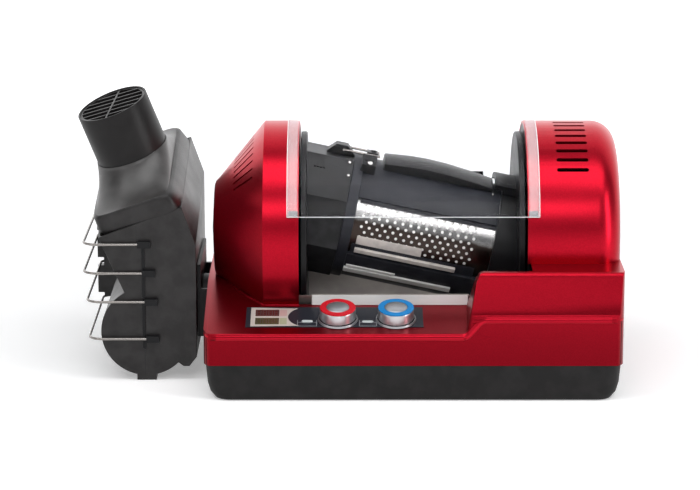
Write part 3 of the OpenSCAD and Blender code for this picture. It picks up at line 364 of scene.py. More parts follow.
def smooth(mesh, angle=SHARP):
    mesh.polygons.foreach_set("use_smooth", [True] * len(mesh.polygons))
    mesh.set_sharp_from_angle(angle=math.radians(angle))


def add_bevel(piece, width):
    bevel = piece.modifiers.new("edges", "BEVEL")
    bevel.width = width / 1000
    bevel.segments = BEVEL_STEPS
    bevel.limit_method = "ANGLE"
    bevel.angle_limit = math.radians(SHARP)
    bevel.harden_normals = True
    bevel.use_clamp_overlap = True


def dressed(node, mat, bevel=0.0):
    """A welded copy of a CAD node with soft edges and a finish, in the node's place."""
    mesh = frame["nodes"][node].data.copy()
    piece = bpy.data.objects.new(node + "_skin", mesh)
    scene.collection.objects.link(piece)
    work = bmesh.new()
    work.from_mesh(mesh)
    bmesh.ops.remove_doubles(work, verts=work.verts, dist=2e-6)
    bmesh.ops.dissolve_limit(work, angle_limit=math.radians(FLAT), verts=work.verts, edges=work.edges)
    work.to_mesh(mesh)
    work.free()
    mesh.materials.clear()
    mesh.materials.append(mat)
    smooth(mesh)
    if bevel:
        add_bevel(piece, bevel)
    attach(piece, body_of(node))
    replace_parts(piece, node)


def piece_of(name, verts, faces, mat, body, slot, place=Matrix.Identity(4), bevel=0.0, angle=SHARP):
    """A new piece from points in millimetres, set by a matrix, that rides on a body."""
    mesh = bpy.data.meshes.new(name)
    mesh.from_pydata([TO_FRAME @ place @ Vector(v) for v in verts], [], faces)
    work = bmesh.new()
    work.from_mesh(mesh)
    bmesh.ops.remove_doubles(work, verts=work.verts, dist=1e-6)
    bmesh.ops.recalc_face_normals(work, faces=work.faces)
    work.to_mesh(mesh)
    work.free()
    mesh.materials.append(mat)
    smooth(mesh, angle)
    piece = bpy.data.objects.new(name, mesh)
    scene.collection.objects.link(piece)
    if bevel:
        add_bevel(piece, bevel)
    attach(piece, body)
    return piece


def lathe(profile, steps=64, centre=(0, 0)):
    """Points and faces of a profile of (radius, height) turned about the Z axis."""
    verts, faces, rows = [], [], []
    for r, z in profile:
        rows.append(len(verts))
        if r < 1e-6:
            verts.append((centre[0], centre[1], z))
        else:
            verts += [(centre[0] + r * math.cos(2 * math.pi * k / steps),
                       centre[1] + r * math.sin(2 * math.pi * k / steps), z) for k in range(steps)]
    for (r0, _), (r1, _), a, b in zip(profile, profile[1:], rows, rows[1:]):
        for k in range(steps):
            n = (k + 1) % steps
            if r0 < 1e-6 and r1 >= 1e-6:
                faces.append((a, b + k, b + n))
            elif r1 < 1e-6 and r0 >= 1e-6:
                faces.append((a + k, a + n, b))
            elif r0 >= 1e-6 and r1 >= 1e-6:
                faces.append((a + k, a + n, b + n, b + k))
    return verts, faces


def slab(outline, z0, z1):
    """Points and faces of a flat outline with a thickness."""
    n = len(outline)
    verts = [(x, y, z0) for x, y in outline] + [(x, y, z1) for x, y in outline]
    faces = [tuple(range(n))[::-1], tuple(range(n, 2 * n))]
    faces += [(k, (k + 1) % n, n + (k + 1) % n, n + k) for k in range(n)]
    return verts, faces


def joined(*parts):
    """Several (points, faces) pairs as one."""
    verts, faces = [], []
    for v, f in parts:
        start = len(verts)
        verts += v
        faces += [tuple(start + k for k in face) for face in f]
    return verts, faces


# %% [markdown]
# ## Three trees for what repeats
# Holes, ribs, pins and digits come in rows, so Geometry Nodes make them. A small seed
# mesh holds one copy, drawn in millimetres. The first tree sets it on a staggered grid
# and bends that grid round a cylinder. The second sets it in a row, by a step or by a
# turn. The third makes a round wire from a line of points. Each result is baked to a
# plain mesh, because the modifier would be lost when the model is exported.

# %% Helpers for geometry trees
def new_tree(name, **sizes):
    """A Geometry Nodes tree with a geometry in and out, and a named input for each size."""
    tree = bpy.data.node_groups.new(name, "GeometryNodeTree")
    for way in ("INPUT", "OUTPUT"):
        tree.interface.new_socket("Geometry", in_out=way, socket_type="NodeSocketGeometry")
    kinds = {int: "NodeSocketInt", float: "NodeSocketFloat", tuple: "NodeSocketVector"}
    for size, value in sizes.items():
        tree.interface.new_socket(size, in_out="INPUT", socket_type=kinds[type(value)]).default_value = value
    tree.interface.new_socket("Finish", in_out="INPUT", socket_type="NodeSocketMaterial")
    return tree, tree.nodes.new("NodeGroupInput").outputs


def close_tree(tree, geometry, sizes):
    """Ends a tree: real geometry, welded, with its finish."""
    real = add_node(tree, "GeometryNodeRealizeInstances", {0: geometry})[0]
    welded = add_node(tree, "GeometryNodeMergeByDistance", {0: real, "Distance": 0.005})[0]
    done = add_node(tree, "GeometryNodeSetMaterial", {0: welded, "Material": sizes["Finish"]})[0]
    out = tree.nodes.new("NodeGroupOutput")
    tree.links.new(done, out.inputs[0])
    return tree


# %% The three trees
def wrapped_grid():
    tree, size = new_tree("wrapped_grid", Radius=52.0, Rows=4, Around=8, Pitch=3.7)
    around = sums(tree, "DIVIDE", sums(tree, "MULTIPLY", size["Radius"], math.tau), size["Around"])
    grid = add_node(tree, "GeometryNodeMeshGrid", {
        "Size X": sums(tree, "MULTIPLY", sums(tree, "SUBTRACT", size["Rows"], 1.0), size["Pitch"]),
        "Size Y": sums(tree, "MULTIPLY", sums(tree, "SUBTRACT", size["Around"], 1.0), around),
        "Vertices X": size["Rows"], "Vertices Y": size["Around"]})[0]
    row = sums(tree, "FLOOR", sums(tree, "DIVIDE", add_node(tree, "GeometryNodeInputIndex")[0], size["Around"]))
    half = sums(tree, "MULTIPLY", sums(tree, "MODULO", row, 2.0), sums(tree, "MULTIPLY", around, 0.5))
    shift = add_node(tree, "ShaderNodeCombineXYZ", {"Y": half})[0]
    points = add_node(tree, "GeometryNodeSetPosition", {0: grid, "Offset": shift})[0]
    copies = add_node(tree, "GeometryNodeInstanceOnPoints", {"Points": points, "Instance": size["Geometry"]})[0]
    flat = add_node(tree, "GeometryNodeRealizeInstances", {0: copies})[0]
    at = add_node(tree, "ShaderNodeSeparateXYZ", {0: add_node(tree, "GeometryNodeInputPosition")[0]})
    angle = sums(tree, "DIVIDE", at["Y"], size["Radius"])
    far = sums(tree, "ADD", at["Z"], size["Radius"])
    bent = add_node(tree, "ShaderNodeCombineXYZ", {
        "X": at["X"], "Y": sums(tree, "MULTIPLY", sums(tree, "SINE", angle), far),
        "Z": sums(tree, "MULTIPLY", sums(tree, "COSINE", angle), far)})[0]
    return close_tree(tree, add_node(tree, "GeometryNodeSetPosition", {0: flat, "Position": bent})[0], size)


def row_of_copies():
    tree, size = new_tree("row_of_copies", Count=4, Step=(1.0, 0.0, 0.0), Turn=(0.0, 0.0, 0.0))
    line = add_node(tree, "GeometryNodeMeshLine", {"Count": size["Count"], "Offset": size["Step"]})[0]
    turn = sums(tree, "VMULTIPLY", size["Turn"], add_node(tree, "GeometryNodeInputIndex")[0])
    copies = add_node(tree, "GeometryNodeInstanceOnPoints", {"Points": line, "Instance": size["Geometry"],
                                                             "Rotation": turn})[0]
    return close_tree(tree, copies, size)


def bent_wire():
    tree, size = new_tree("bent_wire", Thickness=2.0, Bend=3.0)
    curve = add_node(tree, "GeometryNodeMeshToCurve", {0: size["Geometry"]})[0]
    rounded = add_node(tree, "GeometryNodeFilletCurve", {0: curve, "Count": 6, "Radius": size["Bend"],
                                                     "Limit Radius": True}, mode="POLY")[0]
    section = add_node(tree, "GeometryNodeCurvePrimitiveCircle", {
        "Resolution": 14, "Radius": sums(tree, "MULTIPLY", size["Thickness"], 0.5)})[0]
    wire = add_node(tree, "GeometryNodeCurveToMesh", {0: rounded, 1: section, "Fill Caps": True})[0]
    return close_tree(tree, wire, size)


WRAPPED_GRID, ROW_OF_COPIES, BENT_WIRE = wrapped_grid(), row_of_copies(), bent_wire()
print("trees:", [tree.name for tree in bpy.data.node_groups])


# %% Baking a tree
def grown(name, tree, seed, mat, body, slot, place=Matrix.Identity(4), stands_for=None, **sizes):
    """Runs a tree on a seed of (points, faces) or (points, faces, lines). The result is a plain piece."""
    points, faces, *lines = seed
    mesh = bpy.data.meshes.new(name + "_seed")
    mesh.from_pydata(points, lines[0] if lines else [], faces)
    holder = bpy.data.objects.new(name + "_seed", mesh)
    scene.collection.objects.link(holder)
    grow = holder.modifiers.new("grow", "NODES")
    grow.node_group = tree
    for socket in tree.interface.items_tree:
        if socket.in_out == "INPUT" and socket.name in sizes:
            grow[socket.identifier] = sizes[socket.name]
        elif socket.name == "Finish":
            grow[socket.identifier] = mat
    graph = bpy.context.evaluated_depsgraph_get()
    baked = bpy.data.meshes.new_from_object(holder.evaluated_get(graph), depsgraph=graph)
    bpy.data.objects.remove(holder)
    bpy.data.meshes.remove(mesh)
    baked.name = name
    baked.transform(TO_FRAME @ place)
    smooth(baked)
    piece = bpy.data.objects.new(name, baked)
    scene.collection.objects.link(piece)
    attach(piece, body)
    if stands_for:
        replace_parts(piece, stands_for)
    return piece


def box(x0, x1, y0, y1, z0, z1):
    return slab([(x0, y0), (x1, y0), (x1, y1), (x0, y1)], z0, z1)


def path(*points):
    """A seed for the wire tree: an open line through points."""
    return list(points), [], [(k, k + 1) for k in range(len(points) - 1)]


ALONG_X = Matrix.Rotation(math.pi / 2, 4, "Y")

# %% [markdown]
# ## The body
# The lower tub is matt black plastic. The upper moulding and both towers wear a deep
# red metallic lacquer. Tub and towers keep the CAD form, where a small bevel is enough.
# A rounded bead follows the left tower's foot, where its cone stands on the deck.

# %% Body, towers and tub
for part, mat, slot, bevel in (("base_pan", black_base, "black_base", 0.8),
                               ("rubber_feet", foot_rubber, "foot_rubber", 0.0),
                               ("housing", red_paint, "red_paint", 1.6),
                               ("left_tower", red_paint, "red_paint", 0.8),
                               ("right_tower", red_paint, "red_paint", 0.6)):
    dressed(part, mat, bevel)
CONE_X, CONE_R, CONE_FALL = -136.0, 100.0, 41.5 / 52
foot = [(-103.5, -64.6)]
for r, z in ((100, 75.4), (94, 77.6), (88, 80.6), (80, 85.0), (72, 87.2), (64, 87.2)):
    foot.append((CONE_X - (CONE_R - r) * CONE_FALL, AXIS_Y - math.sqrt(max(r * r - (AXIS_Z - z) ** 2, 0))))
grown("tower_foot_bead", BENT_WIRE, path(*[(x, y, min(deck_z(y), 87.0)) for x, y in foot]), red_paint,
      "base", "red_paint", Thickness=3.0, Bend=8.0)

# %% [markdown]
# ## The fold under the front block
# The deck ends in a rounded lip. At the block the lip doesn't run straight on: it climbs
# to the block's foot, and the band below it stays flat. Two cuts across the welded copy
# mark the climb, and the points of the lip to the right of it go back to the band. A
# sliver of wall that stands alone at the pocket's corner is taken off. A round wire of
# the lip's own radius then follows the whole lip in a brighter copy of the paint, a
# painted highlight, and a floor closes the pocket behind the block's front wall.

# %% The lip climbs to the block
LIP_FRONT, LIP_R, BAND_Y, HALF_WIDTH = -120.0, 3.5, -118.2, 188.5
LIP_DEPTH, LIP_TOP, LIP_SPAN, LIP_PROUD, CLIMB_WIDTH = 9, 74, (50, 72), 0.06, 1.5
SLIVER = ((58.5, 60.4), (-66.5, -61.5), (100, 118))
climb_foot, climb_head = Vector((46.5, 0, 58.5)), Vector((60.5, 0, 75))
across = Vector((0, 1, 0)).cross(climb_head - climb_foot).normalized()


def is_near_lip(face):
    middle = face.calc_center_median()
    return middle.y < LIP_FRONT + LIP_DEPTH and middle.z < LIP_TOP


housing_mesh = scene.objects["housing_skin"].data
work = bmesh.new()
work.from_mesh(housing_mesh)
for vert in work.verts:
    vert.co = TO_FRAME.inverted() @ vert.co
for shift in (0.0, CLIMB_WIDTH):
    near = [face for face in work.faces if is_near_lip(face)]
    near += list({e for f in near for e in f.edges}) + list({v for f in near for v in f.verts})
    bmesh.ops.bisect_plane(work, geom=near, dist=1e-4, plane_co=climb_foot + across * shift, plane_no=across)
lip = [v for v in work.verts if v.co.y < BAND_Y and LIP_SPAN[0] < v.co.z < LIP_SPAN[1]]
set_back = [v for v in lip if (v.co - climb_foot).dot(across) > CLIMB_WIDTH - 0.1]
for vert in set_back:
    vert.co.y = BAND_Y
sliver = [v for v in work.verts if all(low < t < high for t, (low, high) in zip(v.co, SLIVER))]
print("points of the lip set back:", len(set_back), "and of the sliver taken off:", len(sliver))
bmesh.ops.delete(work, geom=sliver, context="VERTS")
bmesh.ops.holes_fill(work, edges=[e for e in work.edges if e.is_boundary])
for vert in work.verts:
    vert.co = TO_FRAME @ vert.co
work.to_mesh(housing_mesh)
work.free()
smooth(housing_mesh)

# %% The bright lip and the pocket's floor
# The wire's middle runs at 75 under the block and at 59.2 along the deck, turns round
# both corners and climbs the deck's left edge. Its ends dip into the wall.
lip_y, side_x = LIP_FRONT + LIP_R, HALF_WIDTH - LIP_R
lip_path = [(178, -92, 75), (side_x, -100, 75), (side_x, lip_y, 75), (61, lip_y, 75), (47.5, lip_y, 59.2),
            (-side_x, lip_y, 59.2), (-side_x, -24, 81.4), (-178, -14, 79)]
grown("front_lip", BENT_WIRE, path(*lip_path), lip_highlight_paint, "base", "red_paint",
      Thickness=2 * (LIP_R + LIP_PROUD), Bend=8.6)
piece_of("pocket_floor", *box(58.5, 107, -107, -63.5, 64, 66), red_paint, "base", "red_paint")

# %% [markdown]
# ## The rear and the inside
# The panel behind the cover, the bulkheads and the mains inlet are black mouldings.
# Motors, fan, heater and boards sit out of sight. They get plain finishes, so that they
# look right when somebody takes the roaster apart.

# %% Rear panel, bulkheads and inlet
for part, mat, slot, bevel in (("rear_panel", black_plastic, "black_plastic", 0.5),
                               ("left_bulkhead", black_plastic, "black_plastic", 0.4),
                               ("right_bulkhead", black_plastic, "black_plastic", 0.4),
                               ("hub_bushes", gear_polymer, "bush_polymer", 0.0),
                               ("power_inlet", black_plastic, "black_plastic", 0.5)):
    dressed(part, mat, bevel)

# %% Inside the body
for part, mat, slot in [("gear_motor", shaft_steel, "shaft_steel"), ("pinion", pinion_brass, "pinion_brass"),
                        ("air_duct", duct_steel, "duct_steel"), ("heater_core", heater_mica, "heater_mica"),
                        ("fan_motor", shaft_steel, "shaft_steel"), ("fan_rotor", black_plastic, "fan_plastic"),
                        ("exhaust_duct", duct_steel, "duct_steel"),
                        ("power_board", circuit_board, "circuit_board"),
                        ("control_board", circuit_board, "circuit_board"),
                        ("drive_gear", gear_polymer, "gear_polymer"),
                        ("docking_bracket", black_plastic, "black_plastic"),
                        ("hinge_pins", shaft_steel, "shaft_steel"),
                        ("temperature_stem", shaft_steel, "shaft_steel"), ("time_stem", shaft_steel, "shaft_steel")]:
    dressed(part, mat)

# %% [markdown]
# ## The clear cover
# The cover is one bent sheet of clear plastic. Where it laps over the towers it looks
# milky, because its underside is frosted there. So one finish is glass in the middle
# and a thin white film at both ends, by the distance from the middle. The cut edges
# shine as fine pale lines, and that shine is painted on strips of their own.

# %% The clear sheet
FILM_EDGE, FILM_CLEAR = (0.1035, 0.1055), 0.78


def clear_sheet():
    mat, tree, shader = new_material("clear_sheet")
    for socket, value in (("Base Color", (0.99, 0.99, 1, 1)), ("Roughness", 0.0), ("IOR", 1.08)):
        shader.inputs[socket].default_value = value
    at = add_node(tree, "ShaderNodeSeparateXYZ", {0: add_node(tree, "ShaderNodeTexCoord")["Object"]})
    far = sums(tree, "ABSOLUTE", sums(tree, "ADD", at["X"], ORIGIN_X / 1000))
    tree.links.new(ranged(tree, far, FILM_EDGE, (1.0, FILM_CLEAR)), shader.inputs["Transmission Weight"])
    return mat


def round_part(x0, x1, r0, r1, first, last, steps):
    """A sector of a ring about the X axis. Angles count from the top towards the front."""
    verts, faces = [], []
    for k in range(steps + 1):
        a = math.radians(first + (last - first) * k / steps)
        verts += [(x, -r * math.sin(a), r * math.cos(a)) for x, r in ((x0, r0), (x1, r0), (x1, r1), (x0, r1))]
    for k in range(steps):
        faces += [(4 * k + i, 4 * k + (i + 1) % 4, 4 * k + 4 + (i + 1) % 4, 4 * k + 4 + i) for i in range(4)]
    return verts, faces + [(0, 1, 2, 3), tuple(4 * steps + i for i in (3, 2, 1, 0))]


# %% Cover
painted_edge_shine = finish("painted_edge_shine", (0.85, 0.86, 0.87), 0.35, grain=0.5, bump=0.03)
dressed("clear_cover", clear_sheet(), bevel=0.4)
dressed("cover_bumpers", grey_rubber, bevel=0.3)
dressed("cover_hinge_arms", black_plastic, bevel=0.5)
# Painted highlight: pale strips along the cover's cut edges.
for name, strip in (("front_edge", round_part(-114, 114, 101.7, 103.8, 72.0, 72.35, 1)),
                    ("end_left", round_part(-114.2, -113.7, 101.8, 103.7, -79, 71.8, 40)),
                    ("end_right", round_part(114.2, 113.7, 101.8, 103.7, -79, 71.8, 40))):
    piece_of("cover_" + name, *strip, painted_edge_shine, "cover", "clear_sheet", ON_AXIS)
print("cover rides on", body_of("clear_cover"))

# %% [markdown]
# ## The drum's steel
# The drum is a tube of thin polished steel with staggered holes, each over a pale disc that
# paints the bright spot of light at the hole. One tile with one hole is enough: the grid tree
# bends 29 rows of 33 round the tube. The lower part of each window is a painted dark
# reflection in brown, so the steel's colour follows the angle round the drum's own axis.

# %% Steel finishes
DARK_REFLECTION_EDGE, DARK_REFLECTION_WANDER = (1.42, 1.5), 0.12


def drum_steel():
    mat = finish("drum_steel", (0.4, 0.395, 0.39), 0.24, metal=1.0, grain=1.2, bump=0.05, uneven=0.07)
    tree = mat.node_tree
    own = add_node(tree, "ShaderNodeMapping", {
        "Vector": place_of(tree), "Location": TO_FRAME @ Vector((0, AXIS_Y, AXIS_Z)),
        "Rotation": (0, DRUM_TILT, 0)}, vector_type="TEXTURE")["Vector"]
    at = add_node(tree, "ShaderNodeSeparateXYZ", {0: own})
    angle = sums(tree, "ARCTAN2", sums(tree, "ABSOLUTE", at["Y"]), at["Z"])
    cloud = add_node(tree, "ShaderNodeTexNoise", {"Vector": place_of(tree), "Scale": 60})["Fac"]
    wandering = sums(tree, "MULTIPLY_ADD", cloud, DARK_REFLECTION_WANDER, angle)
    # Painted reflection: the steel turns dark brown low on each window.
    return blended(mat, (0.045, 0.034, 0.03), ranged(tree, wandering, DARK_REFLECTION_EDGE))


steel = drum_steel()
# Painted glint: pale discs under the holes stand for the bright spots of light there.
painted_glint_white = finish("painted_glint_white", (0.9, 0.89, 0.87), 0.5, metal=0.15, grain=0.6, bump=0.05)
enamel_white = finish("enamel_white", (0.86, 0.86, 0.84), 0.3, grain=0.6, bump=0.03)
beige_steel = varied(finish("beige_steel", (0.62, 0.57, 0.53), 0.35, metal=0.3, grain=0.8, bump=0.1),
                     (0.52, 0.48, 0.45), 150)
blue_plastic = finish("blue_plastic", (0.03, 0.14, 0.4), 0.4)
seam_and_shade_black = finish("seam_and_shade_black", (0.004, 0.004, 0.005), 0.6)

# %% Perforated drum
DRUM_R, HOLE_R, ROW_PITCH, ROWS, AROUND = 52.0, 1.5, 3.7, 29, 33
SHEET, MESH_X, MESH_LEFT, MESH_RIGHT = 0.8, 3.65, -56, 74
EIGHTHS = [math.radians(45 * k) for k in range(8)]
step_round = math.tau * DRUM_R / AROUND


def hole_ring(z):
    return [(HOLE_R * math.cos(t), HOLE_R * math.sin(t), z) for t in EIGHTHS]


def drum_tile():
    edge = [(round(math.cos(t)) * ROW_PITCH / 2, round(math.sin(t)) * step_round / 2, 0) for t in EIGHTHS]
    faces = []
    for k in range(8):
        n = (k + 1) % 8
        faces += [(k, n, 8 + n, 8 + k), (8 + k, 8 + n, 16 + n, 16 + k)]
    return edge + hole_ring(0) + hole_ring(-0.5), faces


def painted_glint_disc():
    return hole_ring(-0.4) + [(0, 0, -0.1)], [(k, (k + 1) % 8, 8) for k in range(8)]


MESH_MIDDLE = IN_DRUM @ Matrix.Translation((MESH_X, 0, 0))
for name, seed, mat in (("drum_sheet", drum_tile(), steel), ("drum_painted_glints", painted_glint_disc(), painted_glint_white)):
    sheet = grown(name, WRAPPED_GRID, seed, mat, "drum", "polished_steel", MESH_MIDDLE, stands_for="drum_mesh",
                  Radius=DRUM_R, Rows=ROWS, Around=AROUND, Pitch=ROW_PITCH)
    print(name, len(sheet.data.polygons), "faces")
half = ROWS * ROW_PITCH / 2
for name, x0, x1 in (("left", MESH_LEFT, MESH_X - half), ("right", MESH_X + half, MESH_RIGHT)):
    band = [(DRUM_R - SHEET, x0), (DRUM_R, x0), (DRUM_R, x1), (DRUM_R - SHEET, x1)]
    margin = piece_of("drum_margin_" + name, *lathe(band, 96), steel, "drum", "polished_steel", IN_DRUM @ ALONG_X)
    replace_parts(margin, "drum_mesh")

# %% [markdown]
# ## The drum's mouldings
# Discs, socket and straps are black and dark grey mouldings that keep the CAD form.
# New are the pale steel bars beside the windows and the low frames round them, once in
# front and once behind. Each bar is a sector of a ring about the drum's own axis.

# %% Drum mouldings
for part, mat, slot, bevel in [("left_drive_disc", black_plastic, "black_plastic", 0.8),
                               ("right_drive_disc", black_plastic, "black_plastic", 0.8),
                               ("drum_left_ring", drum_plastic, "drum_plastic", 0.8),
                               ("drum_socket", socket_plastic, "socket_plastic", 0.6),
                               ("drum_right_cap", black_plastic, "black_plastic", 0.8),
                               ("drum_panels", drum_plastic, "drum_plastic", 0.4),
                               ("drum_crest", black_plastic, "socket_plastic", 0.8),
                               ("latch_post", black_plastic, "black_plastic", 0.5),
                               ("drum_latch", guard_steel, "bright_chrome", 0)]:
    dressed(part, mat, bevel)

# %% Bars beside the windows
def on_side(side, *sectors):
    """Ring sectors (x0, x1, r0, r1, first, last, steps), in front for a side of 1 and behind for -1."""
    return joined(*[round_part(x0, x1, r0, r1, side * first, side * last, steps)
                    for x0, x1, r0, r1, first, last, steps in sectors])


for side, name in ((-1, "rear"), (1, "front")):
    frames = on_side(side, (-53.5, 74, 52.1, 54.2, 60, 63.4, 3), (-53.5, 62, 52.05, 52.6, 106.4, 118, 8))
    piece_of(f"window_frame_{name}", *frames, drum_plastic, "drum", "drum_plastic", IN_DRUM)
    upper = on_side(side, (-50, 44.5, 52.5, 56.5, 109.8, 113.8, 3), (-50, 11, 52.05, 52.7, 97, 106.4, 4))
    lower = on_side(side, (-54, -8, 55.8, 57.2, 131, 134, 3), (-55.8, 45, 55.8, 58, 135, 142, 4))
    for level, bar, mat in (("upper", upper, beige_steel), ("lower", lower, enamel_white)):
        part = piece_of(f"{level}_bars_{name}", *bar, mat, "drum", "rail_steel", IN_DRUM, bevel=0.3)
        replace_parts(part, "drum_rails")

# %% [markdown]
# ## Small parts on the drum
# Ribs stiffen the socket, bright pins hold the latch, and a black block with a screw
# keeps it shut. The ribs are copies in a row, and beside them a thin black plate paints
# the shade of a slot.

# %% Ribs, pins, block and screw
def round_drum(degrees):
    """A place on the drum, turned about its own axis from the top to the front."""
    return IN_DRUM @ Matrix.Rotation(math.radians(degrees), 4, "X")


ON_FLAT = round_drum(45)
grown("socket_ribs", ROW_OF_COPIES, box(-0.7, 0.7, 8, 20, 55, 57), socket_plastic, "drum", "socket_plastic",
      ON_FLAT @ Matrix.Translation((-101, 0, 0)), Count=4, Step=(2.9, 0.0, 0.0))
# Painted shade: a thin black plate stands for the slot's recess.
piece_of("socket_slot", *box(-87, -80, 13, 15, 55.2, 55.6), seam_and_shade_black, "drum", "socket_plastic", ON_FLAT)
pin_seed = lathe([(0, 1.2), (0.9, 1.0), (1.5, 0.4), (1.6, -1.5), (0, -1.5)], 16)
grown("latch_pins", ROW_OF_COPIES, pin_seed, bright_chrome, "drum", "bright_chrome",
      round_drum(26) @ Matrix.Translation((-70, 0, 60)), Count=2, Step=(0.7, -17.0, -2.2))
ON_BLOCK = round_drum(24)
piece_of("latch_block", *joined(box(-59, -45.5, -8, 9, 54, 65.5), box(-57, -47.5, -2, 7, 65, 66.6)),
         black_plastic, "drum", "black_plastic", ON_BLOCK, bevel=0.6)
screw = lathe([(0, 67.2), (0.6, 67.2), (0.9, 66.7), (1.6, 66.9), (2.4, 66.2), (2.5, 65.2)], 24, (-51.5, -5))
piece_of("latch_screw", *screw, bright_chrome, "drum", "bright_chrome", ON_BLOCK)
piece_of("cap_pin", *lathe([(0, 58.4), (0.8, 58.1), (1.1, 57.4), (1.1, 55)], 16, (66, 0)),
         bright_chrome, "drum", "bright_chrome", round_drum(26))
piece_of("blue_tab", *box(83, 87, -4, 4, 56, 62.5), blue_plastic, "drum", "black_plastic", round_drum(-8), bevel=0.4)

# %% [markdown]
# ## The trough under the drum
# A steel trough catches what falls from the drum. It has browned with heat, and its
# front flange is white.

# %% Trough
trough_steel = varied(finish("trough_steel", (0.4, 0.36, 0.33), 0.32, metal=0.25, grain=1.0, bump=0.1),
                      (0.32, 0.28, 0.26), 35)
dressed("floor_trough", trough_steel, bevel=0.2)
piece_of("trough_lip", *box(-91.5, 50.2, -64.35, -64.0, deck_z(-64) + 0.2, 84.9), enamel_white,
         "base", "polished_steel")

# %% [markdown]
# ## Controls
# The label is a dark film with a pale frame round two small displays. The frame's right
# edge is hollowed by a circle, and each oval stands over a thin outlined box.

# %% Label, displays and ovals
ON_LABEL = on_deck(-71, -87.5)
FLAT_PRINT = {"grain": 0.4, "bump": 0.0}
frame_beige = finish("frame_beige", (0.52, 0.47, 0.43), 0.4, grain=0.4, bump=0.03)
display_red = finish("display_red", (0.12, 0.045, 0.04), 0.15, **FLAT_PRINT)
display_green = finish("display_green", (0.1, 0.1, 0.05), 0.15, **FLAT_PRINT)
tint_pink = finish("tint_pink", (0.5, 0.33, 0.31), 0.3, **FLAT_PRINT)
tint_green = finish("tint_green", (0.36, 0.38, 0.25), 0.3, **FLAT_PRINT)
digit_dark = finish("digit_dark", (0.03, 0.012, 0.012), 0.3, **FLAT_PRINT)
line_grey = finish("line_grey", (0.3, 0.31, 0.33), 0.4, **FLAT_PRINT)
ring_steel = finish("ring_steel", (0.42, 0.42, 0.44), 0.34, metal=0.9, grain=0.5, bump=0.05)
for part, mat, slot, bevel in [("control_label", label_film, "label_film", 0.15),
                               ("knob_bezels", ring_steel, "bright_chrome", 0.2),
                               ("indicator_lamp", lamp_lens, "lamp_lens", 0.5),
                               ("power_key", lamp_lens, "lamp_lens", 0.6)]:
    dressed(part, mat, bevel)
HOLLOW_X, HOLLOW_R = -23, 19
arc = [math.radians(a) for a in range(-62, 63, 8)]
hollow = [(HOLLOW_X - HOLLOW_R * math.cos(a), HOLLOW_R * math.sin(a)) for a in arc]
outline = [(-75.6, -18)] + hollow + [(-75.6, 17.8)]
piece_of("display_frame", *slab(outline, 0.45, 0.75), frame_beige, "base", "label_film", ON_LABEL, bevel=0.1)
# Seven bars make an 8: two-number spans in x and y, and a step up.
bars = [(0, 3.4, -0.5, 0.5, 8), (0, 3.4, -0.5, 0.5, 4), (0, 3.4, -0.5, 0.5, 0),
        (-0.45, 0.45, 0, 4, 4), (-0.45, 0.45, 0, 4, 0), (2.95, 3.85, 0, 4, 4), (2.95, 3.85, 0, 4, 0)]
digit = joined(*[box(x0, x1, y0 + up, y1 + up, 0.82, 0.92) for x0, x1, y0, y1, up in bars])
for name, mat, tint, y in (("upper", display_red, tint_pink, 1.2), ("lower", display_green, tint_green, -14.4)):
    piece_of(name + "_display", *box(-71.5, -50, y, y + 12.2, 0.7, 0.85), mat, "base", "label_film", ON_LABEL)
    piece_of(name + "_display_end", *box(-49.4, -43, y, y + 12.2, 0.7, 0.82), tint, "base", "label_film", ON_LABEL)
    grown(name + "_digits", ROW_OF_COPIES, digit, digit_dark, "base", "label_film",
          ON_LABEL @ Matrix.Translation((-70, y + 2.1, 0)), Count=4, Step=(5.2, 0.0, 0.0))
for name, x0, x1 in (("key", -33.5, -15.8), ("lamp", 22.3, 38)):
    lines = joined(*[box(*sides, 0.5, 0.6) for sides in ((x0, x1, -17.4, -16.9), (x0, x1, -10.4, -9.9),
                                                         (x0, x0 + 0.5, -17.4, -6), (x1 - 0.5, x1, -17.4, -6))])
    piece_of(name + "_outline", *lines, line_grey, "base", "label_film", ON_LABEL)

# %% [markdown]
# ## The chaff collector
# Bin and cap are a satin charcoal moulding with a slightly mottled skin. Four bright
# wires keep hands off its hot side. They are lines of points, which the wire tree turns
# into round wire with bent corners.

# %% Collector
for part, mat, slot, bevel in [("collector_bin", collector_plastic, "collector_plastic", 1.2),
                               ("outlet_grille", collector_plastic, "collector_plastic", 0.25),
                               ("guard_clips", black_plastic, "black_plastic", 0.3)]:
    dressed(part, mat, bevel)
COL_RIGHT, COL_FRONT, COL_REAR = -198, -48, 118
# Each wire's height, its reach to the left of the bin's right side, and its clip's place.
WIRES = ((129, 103, 47), (102, 103, 43), (75, 100.5, 41), (40, 99, 40))
front, back = COL_FRONT - 4, COL_REAR - 5
for number, (z, reach, clip) in enumerate(WIRES):
    x = COL_RIGHT - reach
    line = path((COL_RIGHT - clip, front, z), (x, front, z), (x, back, z), (x + 9, back, z))
    wire = grown(f"guard_wire_{number + 1}", BENT_WIRE, line, guard_steel, "collector", "bright_chrome",
                 Thickness=2.4, Bend=13.0, stands_for="wire_guards")
print("a guard wire has", len(wire.data.polygons), "faces")

# %% [markdown]
# ## The cap on the collector
# The cap's long box flares up to a round tube. A loft makes that concave neck: each ring
# of points lies between a rounded rectangle and the tube's circle, and the height grows
# slowly at first. The tube is plain and dark. The neck has a satin sheen and a lighter
# charcoal, which paints the light that falls on its upturned face.

# %% Cap
def round_outline(cx, cy, a, b, power, count=128):
    """An ellipse for a power of 2, and more and more of a rectangle for higher powers."""
    ring = []
    for k in range(count):
        c, s = math.cos(math.tau * k / count), math.sin(math.tau * k / count)
        ring.append((cx + a * math.copysign(abs(c) ** (2 / power), c),
                     cy + b * math.copysign(abs(s) ** (2 / power), s)))
    return ring


